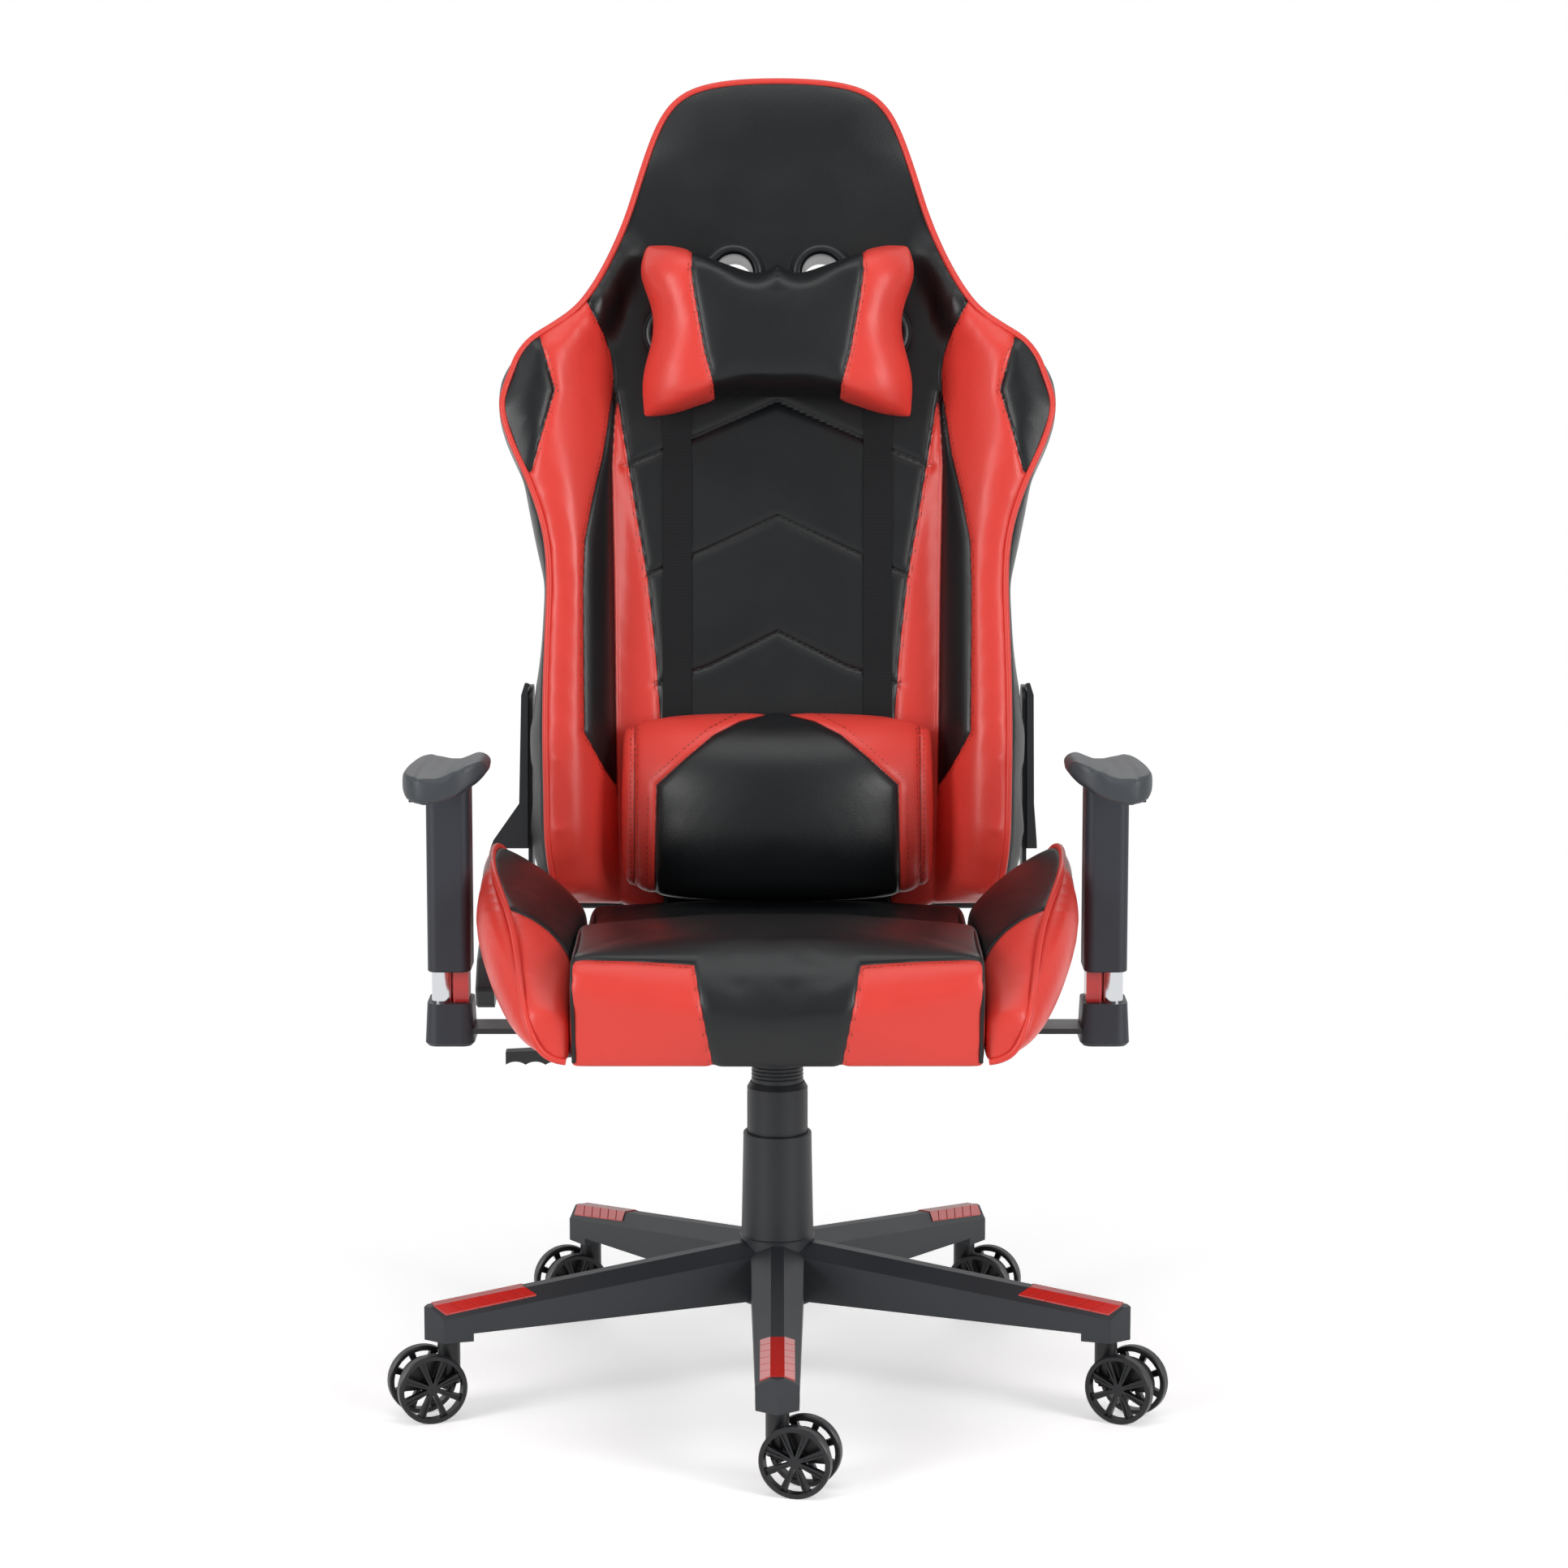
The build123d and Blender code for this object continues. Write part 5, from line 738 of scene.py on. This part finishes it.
# slanted harness openings: middle, radius of their ends and half the distance between the ends' middles
SLOT_X, SLOT_H = 0.072, 0.578
SLOT_RADIUS = 0.046 / 2
SLOT_HALF = (0.128 - 0.046) / 2


def plug_studs(work):
    """Plugs the stud holes in the back's sides, so that the remesh takes the frame's cavity for solid."""
    for h in STUD_HEIGHTS:
        for _, side in HANDS:
            plug = bmesh.ops.create_cone(
                work, cap_ends=True, segments=16, radius1=0.007, radius2=0.007, depth=0.026,
                matrix=Matrix.Rotation(math.pi / 2, 4, "Y"),
            )["verts"]
            bmesh.ops.translate(work, verts=plug, vec=from_back(side * 0.207, h, STUD_AHEAD))


def piped_edge():
    """The piped edge from the foot over the crown to the foot on the other side, as positions."""
    left, right = ([from_back(side * x, h, n) for h, x, n in BACK_EDGE] for _, side in HANDS)
    return [*left, *reversed(right[:-1])]


def edge_reach(chart):
    """Distance inside the piped edge, across the back."""
    heights, widths, _ = zip(*BACK_EDGE)
    return np.interp(chart[:, 1], heights, widths) - np.abs(chart[:, 0])


def slot_gap(chart):
    """Distance outside the two harness openings."""
    reach = SLOT_HALF * math.sqrt(0.5)
    gap = np.full(len(chart), np.inf)
    for _, side in HANDS:
        line = [(side * (SLOT_X - reach), SLOT_H + reach), (side * (SLOT_X + reach), SLOT_H - reach)]
        gap = np.minimum(gap, np.abs(line_distance(chart[:, :2], line)[0]) - SLOT_RADIUS)
    return gap


class CHAIR_OT_back_cover(Operator):
    """Cover of the back: winged front with sewn panels and chevrons, black sides and rear"""

    bl_idname = "chair.back_cover"
    bl_label = "Back cover"

    def execute(self, context):
        piece = solid_copy("back_cover", "back_pad", plug_studs)
        soften(piece, 0.006, 8)
        self.square_foot(piece)
        edge = piped_edge()
        pull_to(piece, edge, 0.012)
        self.pad_head(piece)
        chart = chart_of(piece)
        face = chart[:, :2]
        red, _ = merge_panels(face, both_sides(WING_RED, WEDGE_RED))
        quilt, _ = merge_lines(face, CHEVRONS)
        ahead = normals_of(piece.data) @ np.array(BACK_AHEAD) > 0.15
        seam = 0.8 * bell(np.minimum(np.abs(red), np.abs(quilt)), 0.005) * ahead
        rim = ramp(0.012 - slot_gap(face), 0.006)
        rear = ramp(-0.055 - chart[:, 2], 0.006)
        held = seam + rim + rear + bell(nearest_on(points_of(piece.data), edge)[0], 0.007)
        stuff(piece, held, pressure=1.6, cap=0.004, frames=10, calm=8)
        refine(piece)
        chart = chart_of(piece)
        face, across = chart[:, :2], np.abs(chart[:, 0])
        reach = edge_reach(chart)
        ahead = (chart[:, 2] > FRONT_N) & (reach > -0.004)
        red, run = merge_panels(face, both_sides(WING_RED, WEDGE_RED))
        red = np.where(ahead, np.minimum(red, reach), ALL_BLACK)
        quilt, along = merge_lines(face, CHEVRONS)
        quilt = np.where(ahead, np.abs(quilt), NO_SEAM)
        run = np.where(quilt < 0.006, along, run)
        # no topstitch beside the piping, nor where the wing's wall stands up from the middle
        bare = (reach < 0.012) | (across > 0.148) & (across < 0.166) & (chart[:, 1] < 0.50)
        thread = np.minimum(quilt, np.where(bare, NO_SEAM, np.abs(red - TOPSTITCH)))
        sew(piece, red, np.minimum(np.abs(red), quilt), thread, run, groove=0.0020, width=0.0042)
        finish_cover(piece, "back_pad", "back")
        # the cord lies on the edge and stands proud of it
        piping("back_piping", snap(piece, edge, 0.0012), "back")
        return {"FINISHED"}

    def pad_head(self, piece):
        """Crowns the head's face and lets it dip towards the harness openings."""
        places = points_of(piece.data)
        chart = to_back(places)
        ahead = chart[:, 2] > FRONT_N
        reach = np.minimum(edge_reach(chart), CROWN_H - chart[:, 1])
        full = ramp(chart[:, 1] - 0.685, 0.045) * ramp(reach, 0.045) ** 0.7 * ahead
        dip = bell(np.maximum(slot_gap(chart), 0), 0.016) * ahead
        lift = 0.008 * full * (1 - dip)
        move_points(piece.data, places + lift[:, None] * np.array(BACK_AHEAD))

    def square_foot(self, piece):
        """Fills the foot's outer corners and lets it hang lower behind the cushion, most in the middle."""
        places = points_of(piece.data)
        chart = to_back(places)
        across = np.abs(chart[:, 0])
        wide = np.interp(chart[:, 1], (0.0, 0.018, 0.036, 0.060, 0.110), (0.011, 0.0085, 0.006, 0.0045, 0.0))
        wide *= ramp(across - 0.165, 0.030) * np.sign(chart[:, 0])
        wide *= 1 + 0.8 * ramp(0.035 - chart[:, 2], 0.030)
        deep = 0.009 * ramp(0.222 - across, 0.010) + 0.005 * ramp(0.150 - across, 0.010)
        deep *= ramp(0.020 - chart[:, 1], 0.016) * ramp(chart[:, 2] + 0.028, 0.010)
        places[:, 0] += wide
        move_points(piece.data, places - deep[:, None] * np.array(BACK_UP))


# webbing: its place across the back, and the places across a strap, closer at its edges
STRAP_X = 0.098
STRAP_ACROSS = (-0.014, -0.0134, -0.007, 0.0, 0.007, 0.0134, 0.014)
# its way up the front lies on the cover: height where it starts, rise and number of places
STRAP_LOW_H, STRAP_RISE, STRAP_STEPS = 0.012, 0.500, 28
# from there it goes over the lip of the opening, down the rear and under the foot: (h, n)
STRAP_REAR_N = -0.0796
STRAP_ROUND = (
    (0.528, 0.0045), (0.537, 0.003), (0.5405, -0.001), (0.5415, -0.008), (0.5415, -0.072), (0.5405, -0.0788),
    (0.534, STRAP_REAR_N), (0.500, STRAP_REAR_N), (0.25, STRAP_REAR_N), (0.012, STRAP_REAR_N),
    (0.002, -0.0788), (-0.0014, -0.074), (-0.0014, 0.0), (0.003, 0.0025),
)


class CHAIR_OT_webbing(Operator):
    """Webbing loops: down the front, under the foot, up the rear and through the openings"""

    bl_idname = "chair.webbing"
    bl_label = "Harness webbing"

    def execute(self, context):
        tree = BVHTree.FromObject(bpy.data.objects["back_cover"], context.evaluated_depsgraph_get())
        for hand, side in HANDS:
            front = []
            for step in range(STRAP_STEPS):
                h = STRAP_LOW_H + STRAP_RISE * step / (STRAP_STEPS - 1)
                spot = tree.ray_cast(from_back(side * STRAP_X, h, 0.30), -BACK_AHEAD)[0]
                front.append((h, to_back(np.array([spot]))[0][2] + 0.0014))
            path = [from_back(side * STRAP_X, h, float(n)) for h, n in (*front, *STRAP_ROUND)]
            strip = bmesh.new()
            row = [strip.verts.new(path[0] + Vector((across, 0, 0))) for across in STRAP_ACROSS]
            edges = first = [strip.edges.new(pair) for pair in zip(row, row[1:])]
            for here, there in zip(path, path[1:]):
                row, edges = extrude_row(strip, edges)
                bmesh.ops.translate(strip, verts=row, vec=there - here)
            bmesh.ops.bridge_loops(strip, edges=[*first, *edges])
            bmesh.ops.recalc_face_normals(strip, faces=strip.faces)
            piece = link_bmesh(f"webbing_{hand}", strip)
            add_modifier(piece, "SOLIDIFY", thickness=0.0015, offset=0)
            bake_modifiers(piece)
            give_material(piece.data, woven_webbing())
            piece.data.shade_smooth()
            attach(piece, "back")
            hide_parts("straps")
        return {"FINISHED"}


# a rim's section from the mouth outwards: distance beyond the opening and height over the cover
RIM_SECTION = (
    (-0.0024, -0.074), (-0.0023, 0.0), (-0.0018, 0.0018), (-0.0004, 0.0030), (0.0022, 0.0030), (0.0045, 0.0016),
    (0.0056, -0.003),
)


class CHAIR_OT_harness_rims(Operator):
    """Rounded plastic rims of the two harness openings"""

    bl_idname = "chair.harness_rims"
    bl_label = "Harness rims"

    def execute(self, context):
        for hand, side in HANDS:
            work = bmesh.new()
            ring = bmesh.ops.create_circle(work, segments=48, radius=SLOT_RADIUS + RIM_SECTION[0][0])["verts"]
            for vert in ring:
                vert.co.x += SLOT_HALF if vert.co.x > 0 else -SLOT_HALF
            edges = list(work.edges)
            for before, after in zip(RIM_SECTION, RIM_SECTION[1:]):
                verts, edges = extrude_row(work, edges)
                for vert in verts:
                    core = Vector((math.copysign(SLOT_HALF, vert.co.x), 0, 0))
                    out = Vector((vert.co.x, vert.co.y, 0)) - core
                    vert.co += out.normalized() * (after[0] - before[0]) + Vector((0, 0, after[1] - before[1]))
            for vert in work.verts:
                vert.co.z += RIM_SECTION[0][1]
            turn = Matrix.Rotation(-side * math.radians(45), 4, "Z")
            bmesh.ops.transform(work, matrix=turn, verts=work.verts)
            for vert in work.verts:
                vert.co = from_back(side * SLOT_X + vert.co.x, SLOT_H + vert.co.y, vert.co.z)
            bmesh.ops.recalc_face_normals(work, faces=work.faces)
            piece = link_bmesh(f"harness_rim_{hand}", work)
            add_modifier(piece, "SOLIDIFY", thickness=0.0016, offset=-1)
            bake_modifiers(piece)
            give_material(piece.data, grained_plastic("nylon_rim", "#15171A", rough=0.32))
            piece.data.shade_smooth()
            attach(piece, "back")
        return {"FINISHED"}


# ------------------------------------------------------------ pillows

# red ends of the neck pillow and of the lumbar pillow, as (x, h)
NECK_RED = (
    (0.080, 0.650), (0.083, 0.601), (0.080, 0.578), (0.076, 0.555), (0.070, 0.522), (0.061, 0.490), (0.058, 0.445),
    (0.16, 0.445), (0.16, 0.650),
)
LUMBAR_RED = (
    (0.003, 0.210), (0.004, 0.186), (0.0132, 0.1745), (0.0357, 0.1685), (0.0613, 0.1548), (0.0845, 0.135),
    (0.1165, 0.106), (0.1175, 0.06), (0.1185, 0.0128), (0.1185, -0.03), (0.18, -0.03), (0.18, 0.21),
)
# both pillows lie on the back behind this n
PILLOW_REAR_N = 0.010
# pulled-out corners of the neck pillow: (x, h, n)
NECK_CORNERS = ((0.131, 0.636, 0.030), (0.131, 0.462, 0.030))


def even_out(work):
    """Makes a pillow's two halves alike."""
    bmesh.ops.symmetrize(work, input=[*work.verts, *work.edges, *work.faces], direction="X", dist=0.0001)


class CHAIR_OT_neck_pillow(Operator):
    """Neck pillow: bow-tie shaped, black middle and red ends"""

    bl_idname = "chair.neck_pillow"
    bl_label = "Neck pillow"

    def execute(self, context):
        piece = solid_copy("neck_cover", "neck_pillow", even_out)
        soften(piece, 0.004, 4)
        self.draw_corners(piece)
        chart = chart_of(piece)
        red, _ = merge_panels(chart[:, :2], both_sides(NECK_RED))
        held = 0.35 * bell(np.abs(red), 0.004) + ramp(PILLOW_REAR_N - chart[:, 2], 0.005)
        corners = [np.linalg.norm(np.abs(chart) - corner, axis=1) for corner in NECK_CORNERS]
        held += bell(np.minimum(*corners), 0.022)
        stuff(piece, held, pressure=1.6, cap=0.004, calm=3)
        refine(piece)
        red, run = merge_panels(chart_of(piece)[:, :2], both_sides(NECK_RED))
        sew(piece, red, np.abs(red), np.abs(red - TOPSTITCH), run)
        finish_cover(piece, "neck_pillow", "neck_pillow")
        return {"FINISHED"}

    def draw_corners(self, piece):
        """Draws the corners out to points and the upper edge up, as a bow-tie cover has them."""
        places = points_of(piece.data)
        shift = np.zeros_like(places)
        for x, h, n in NECK_CORNERS:
            for _, side in HANDS:
                corner = np.array(from_back(side * x, h, n))
                gap = np.linalg.norm(places - corner, axis=1)
                shift += (0.85 * bell(gap, 0.018))[:, None] * (corner - places)
        chart = to_back(places)
        across = np.abs(chart[:, 0])
        rise = 0.003 * np.exp(-(across / 0.070) ** 4) + 0.0065 * bell(across - 0.036, 0.018)
        rise *= ramp(chart[:, 1] - 0.595, 0.025)
        move_points(piece.data, places + shift + rise[:, None] * np.array(BACK_UP))


class CHAIR_OT_lumbar_pillow(Operator):
    """Lumbar pillow: black front between red shoulders with double topstitching"""

    bl_idname = "chair.lumbar_pillow"
    bl_label = "Lumbar pillow"

    def execute(self, context):
        piece = solid_copy("lumbar_cover", "lumbar_pillow")
        soften(piece, 0.0045, 8)
        # its weight lets the stuffing sag towards the cushion
        places = points_of(piece.data)
        sag = 0.010 * ramp(0.065 - to_back(places)[:, 1], 0.055)
        move_points(piece.data, places - sag[:, None] * np.array(BACK_UP))
        chart = chart_of(piece)
        red, _ = merge_panels(chart[:, :2], both_sides(LUMBAR_RED))
        seam = 0.7 * bell(np.abs(red), 0.005) + 0.6 * bell(np.abs(np.abs(chart[:, 0]) - 0.138), 0.005)
        rear = ramp(PILLOW_REAR_N - chart[:, 2], 0.005)
        stuff(piece, seam + rear, pressure=2.4, cap=0.006, calm=8)
        refine(piece)
        chart = chart_of(piece)
        red, run = merge_panels(chart[:, :2], both_sides(LUMBAR_RED))
        ahead = chart[:, 2] > 0.012
        red = np.where(ahead, red, ALL_RED)
        gusset = np.where(ahead, np.abs(np.abs(chart[:, 0]) - 0.1385), NO_SEAM)
        run = np.where(gusset < np.abs(red), chart[:, 1] + 1, run)
        thread = np.minimum(np.abs(red - 0.0075), np.abs(gusset - 0.0035))
        sew(piece, red, np.minimum(np.abs(red), gusset), thread, run)
        finish_cover(piece, "lumbar_pillow", "lumbar_pillow")
        return {"FINISHED"}


# ------------------------------------------------------------ armrests

# a pad's top and base by distance from the middle of the chair, and how far swelling moves them at three lengths
PAD_ACROSS = (0.267, 0.276, 0.283, 0.292, 0.302, 0.312, 0.323, 0.332, 0.338, 0.345)
PAD_TOP = (0.6182, 0.6200, 0.6177, 0.6090, 0.6030, 0.6048, 0.6120, 0.6132, 0.6115, 0.6050)
PAD_BASE = (0.5937, 0.5872, 0.5852, 0.5840, 0.5835, 0.5836, 0.5840, 0.5853, 0.5879, 0.5925)
PAD_ALONG = (-0.170, -0.050, 0.060)
PAD_TOP_SHIFT = (
    (0.0090, 0.0047, 0.0040, 0.0089, 0.0107, 0.0074, 0.0008, 0.0010, 0.0045, 0.0130),
    (-0.0047, -0.0065, -0.0062, -0.0020, 0.0015, 0.0000, -0.0045, -0.0050, -0.0030, 0.0010),
    (-0.0138, -0.0141, -0.0133, -0.0076, -0.0021, -0.0034, -0.0076, -0.0080, -0.0075, -0.0060),
)
PAD_BASE_SHIFT = (
    (0.0150, 0.0155, 0.0125, 0.0092, 0.0065, 0.0055, 0.0050, 0.0045, 0.0035, 0.0020),
    (0.0020, 0.0010, 0.0000, 0.0000, 0.0000, 0.0000, 0.0000, 0.0000, 0.0000, 0.0000),
    (-0.0060, -0.0050, -0.0030, 0.0000, 0.0000, 0.0000, -0.0010, -0.0020, -0.0030, -0.0040),
)


class CHAIR_OT_armrest_pads(Operator):
    """Armrest pads of soft self-skinning foam, dished across and rising towards the seat"""

    bl_idname = "chair.armrest_pads"
    bl_label = "Armrest pads"

    def execute(self, context):
        skin = grained_plastic("self_skinning_foam", "#34383D", rough=0.46, grain=0.0016, depth=0.5, specular=0.5)
        for hand, _ in HANDS:
            piece = solid_copy(f"armrest_pad_{hand}", f"arm_pad_{hand}")
            soften(piece, 0.003, 4)
            self.swell(piece)
            add_modifier(piece, "SMOOTH", factor=0.5, iterations=6)
            refine(piece)
            finish_cover(piece, f"arm_pad_{hand}", f"armrest_{hand}", material=skin)
        return {"FINISHED"}

    def swell(self, piece):
        """Shifts the top and the base to the foam's own surfaces."""
        places = points_of(piece.data)
        across, along, up = np.abs(places[:, 0]), places[:, 1], places[:, 2]
        bend = -0.0042 * ramp(-0.06 - along, 0.11) ** 2 - 0.0068 * np.clip((along + 0.06) / 0.11, 0, 1.1) ** 2
        top, base = np.interp(across, PAD_ACROSS, PAD_TOP), np.interp(across, PAD_ACROSS, PAD_BASE)
        share = ramp(up - bend - base, top - base)
        rear, middle, front = PAD_ALONG
        near, far = ramp(along - rear, middle - rear), ramp(along - middle, front - middle)
        moves = []
        for table in (PAD_TOP_SHIFT, PAD_BASE_SHIFT):
            rows = np.array([np.interp(across, PAD_ACROSS, row) for row in table])
            moves.append(rows[0] + (rows[1] - rows[0]) * near + (rows[2] - rows[1]) * far)
        places[:, 2] += share * moves[0] + (1 - share) * moves[1]
        # the outer edge is drawn in, and the inner one too towards the rear
        blunt = -0.34 * np.maximum(across - 0.320, 0)
        narrow = 0.28 * np.maximum(0.290 - across, 0) * ramp(along + 0.10, 0.12)
        places[:, 0] += (blunt + narrow) * np.sign(places[:, 0])
        move_points(piece.data, places)


class CHAIR_OT_hard_parts(Operator):
    """Finishes of the carried-over solids: mouldings, steel, chrome, rubber"""

    bl_idname = "chair.hard_parts"
    bl_label = "Hard parts"

    def execute(self, context):
        shell = grained_plastic("glass_filled_nylon", colours().moulding, rough=0.48)
        arm = grained_plastic("polypropylene_moulding", "#2C2F36", rough=0.46)
        cover = grained_plastic("polypropylene_cover", "#232528", rough=0.42)
        caster = grained_plastic("caster_nylon", "#141518", rough=0.34)
        black_steel = steel("stoved_black_steel", "#1A1B1E", metallic=0.0, rough=0.38)
        zinc = steel("zinc_plated_steel", "#B9BBC0", rough=0.35)
        chrome = steel("chromium_plate", "#D9DBDE", rough=0.09)
        red = glossy_plastic("polished_abs", colours().inserts)
        rail = glossy_plastic("acetal_rail", "#C22A26", rough=0.3)
        rubber = grained_plastic("nitrile_rubber", "#1A1A1A", rough=0.8)
        lining = grained_plastic("plain_nylon", "#17181B", rough=0.5)
        casters = [node for node in frame["nodes"] if node.startswith("caster_")]
        dress_nodes(shell, "star_base")
        dress_nodes(caster, *casters)
        dress_nodes(cover, "cover_lower", "cover_middle", "cover_upper", "recliner_covers")
        dress_nodes(arm, "arm_boots", "arm_sleeve_left", "arm_sleeve_right", "arm_trigger_left", "arm_trigger_right")
        dress_nodes(
            black_steel, "stand_tube", "gas_cylinder", "mechanism_housing", "seat_plate", "seat_frame",
            "arm_brackets", "recliner_plates", "recliner_arms", "recline_lever", "height_lever",
            "release_rocker", "back_frame", "tension_knob",
        )
        dress_nodes(zinc, "thrust_bearing", "piston_rod", "retaining_clip", "gas_button", "tilt_axle", "seat_bolts")
        dress_nodes(chrome, "arm_posts")
        dress_nodes(red, "base_inserts")
        dress_nodes(rail, "arm_rails")
        dress_nodes(lining, "guide_bush", "harness_liners")
        dress_nodes(coated_fabric(), "back_panel")
        springs = solid_copy("rubber_springs", "tilt_springs")
        give_material(springs.data, rubber)
        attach(springs, "lift")
        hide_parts("tilt_springs")
        # the seat plate squeezes them as it tilts back
        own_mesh(springs)
        return {"FINISHED"}


# ------------------------------------------------------------ studio

LENS = 99.46
SENSOR_WIDTH = 36.0
CAMERA_PLACE = (0.0, -3.986, 1.192)
CAMERA_DIP = math.radians(8.758)
CAMERA_SHIFT = 0.0042
# name, place, point it aims at, width, depth and power of each soft box
LAMPS = (
    ("overhead", (0.0, -0.6, 3.2), (0, 0.0, 0.6), 2.4, 1.6, 26.0),
    ("left_box", (-2.5, -2.1, 1.4), (0, 0, 0.7), 1.2, 1.8, 54.0),
    ("right_box", (2.5, -2.1, 1.4), (0, 0, 0.7), 1.2, 1.8, 54.0),
    ("rear_box", (0.0, 3.0, 2.2), (0, 0.2, 0.8), 2.4, 1.4, 16.0),
)
# strengths, where white is 1: the surroundings as a lamp, what reflections see in front, the floor near the chair
AMBIENT = 0.26
DIM_FRONT = 0.45
FLOOR_GLOW = 0.42


class CHAIR_OT_studio(Operator):
    """Pale sweep, soft lamps and the camera"""

    bl_idname = "chair.studio"
    bl_label = "Studio"

    def execute(self, context):
        scene = context.scene
        scene.view_settings.view_transform = "Standard"
        work = bmesh.new()
        bmesh.ops.create_grid(work, x_segments=8, y_segments=8, size=9.0)
        floor = link_bmesh("floor", work)
        give_material(floor.data, self.paper())
        self.world(scene)
        for name, place, aim, width, depth, power in LAMPS:
            lamp = put(bpy.data.lights.new(name, "AREA"), shape="RECTANGLE", size=width, size_y=depth, energy=power)
            turn = (Vector(aim) - Vector(place)).to_track_quat("-Z", "Y").to_euler()
            put(link(name, lamp), location=place, rotation_euler=turn)
        camera = put(bpy.data.cameras.new("camera"), lens=LENS, sensor_width=SENSOR_WIDTH, shift_x=CAMERA_SHIFT)
        turn = (math.pi / 2 - CAMERA_DIP, 0, 0)
        scene.camera = put(link("camera", camera), location=CAMERA_PLACE, rotation_euler=turn)
        return {"FINISHED"}

    def paper(self):
        """Matt white seamless paper: it keeps the shadow near the object and fades into the white beyond."""
        material = bpy.data.materials.new("seamless_paper")
        tree = start_tree(material)
        place = add_node(tree, "TexCoord").outputs["Object"]
        away = add_node(tree, "VectorMath", {0: place}, operation="LENGTH").outputs["Value"]
        fade = add_node(tree, "MapRange", {0: away, 1: 0.55, 2: 1.5}, interpolation_type="SMOOTHSTEP")
        ray = add_node(tree, "LightPath").outputs
        seen = add_node(tree, "Math", {0: ray["Is Camera Ray"], 1: ray["Is Glossy Ray"]}, operation="MAXIMUM")
        seen = add_node(tree, "Math", {0: seen, 1: ray["Is Transmission Ray"]}, operation="MAXIMUM")
        sheet = add_node(tree, "BsdfDiffuse", {"Color": linear("#F7F7F7")})
        glow = add_node(tree, "Emission", {"Color": linear("#FFFFFF"), "Strength": FLOOR_GLOW})
        lit = add_node(tree, "AddShader", {0: sheet, 1: glow})
        white = add_node(tree, "Emission", {"Color": linear("#FFFFFF"), "Strength": 1.0})
        shown = add_node(tree, "MixShader", {0: fade, 1: lit, 2: white})
        mix = add_node(tree, "MixShader", {0: seen, 1: sheet, 2: shown})
        add_node(tree, "OutputMaterial", {"Surface": mix})
        return material

    def world(self, scene):
        """White to the camera, dimmer as a lamp; reflections see bright sides and a dim front.

        That keeps the black cover dark where it faces forward and draws bright streaks along its edges.
        """
        scene.world = bpy.data.worlds.new("studio")
        tree = start_tree(scene.world)
        ray = add_node(tree, "LightPath").outputs
        seen = add_node(tree, "Math", {0: ray["Is Camera Ray"], 1: ray["Is Transmission Ray"]}, operation="MAXIMUM")
        way = add_node(tree, "TexCoord").outputs["Generated"]
        sideways = add_node(tree, "SeparateXYZ", {0: way}).outputs["X"]
        aside = add_node(tree, "Math", {0: sideways}, operation="ABSOLUTE")
        inner = add_node(tree, "MapRange", {0: aside, 1: 0.12, 2: 0.45}, interpolation_type="SMOOTHSTEP")
        outer = add_node(tree, "MapRange", {0: aside, 1: 0.80, 2: 0.95}, interpolation_type="SMOOTHSTEP")
        boxes = add_node(tree, "Math", {0: inner, 1: outer}, operation="SUBTRACT")
        mirror = add_node(tree, "MapRange", {0: boxes, 3: DIM_FRONT, 4: 1.0})
        sharp = add_node(tree, "Math", {0: ray["Is Glossy Ray"], 1: mirror}, operation="MULTIPLY")
        soft = add_node(tree, "Math", {0: 1.0, 1: ray["Is Glossy Ray"]}, operation="SUBTRACT")
        soft = add_node(tree, "Math", {0: soft, 1: AMBIENT}, operation="MULTIPLY")
        level = add_node(tree, "Math", {0: sharp, 1: soft}, operation="ADD")
        level = add_node(tree, "Math", {0: seen, 1: level}, operation="MAXIMUM")
        back = add_node(tree, "Background", {"Color": linear("#FFFFFF"), "Strength": level})
        add_node(tree, "OutputWorld", {"Surface": back})


# ------------------------------------------------------------ panel and run

STEPS = (
    CHAIR_OT_hard_parts, CHAIR_OT_seat_cushion, CHAIR_OT_seat_bolsters, CHAIR_OT_back_cover, CHAIR_OT_webbing,
    CHAIR_OT_harness_rims, CHAIR_OT_neck_pillow, CHAIR_OT_lumbar_pillow, CHAIR_OT_armrest_pads, CHAIR_OT_studio,
)


class CHAIR_PT_builder(Panel):
    """Lists the chair's pieces"""

    bl_idname = "CHAIR_PT_builder"
    bl_label = "Gaming chair"
    bl_space_type = "VIEW_3D"
    bl_region_type = "UI"
    bl_category = "Chair"

    def draw(self, context):
        for group in (colours(), sizes()):
            for name in group.bl_rna.properties.keys():
                if name not in ("rna_type", "name"):
                    self.layout.prop(group, name)
        for step in STEPS:
            self.layout.operator(step.bl_idname)


CLASSES = (ChairColours, ChairSizes, *STEPS, CHAIR_PT_builder)


def register():
    """Registers the classes and their settings."""
    for item in CLASSES:
        bpy.utils.register_class(item)
    bpy.types.Scene.chair_colours = PointerProperty(type=ChairColours)
    bpy.types.Scene.chair_sizes = PointerProperty(type=ChairSizes)


def unregister():
    """Takes the settings and classes out again."""
    del bpy.types.Scene.chair_sizes
    del bpy.types.Scene.chair_colours
    for item in reversed(CLASSES):
        bpy.utils.unregister_class(item)


def main():
    """Builds the whole chair."""
    register()
    for step in STEPS:
        group, name = step.bl_idname.split(".")
        getattr(getattr(bpy.ops, group), name)()


if __name__ == "__main__":
    main()
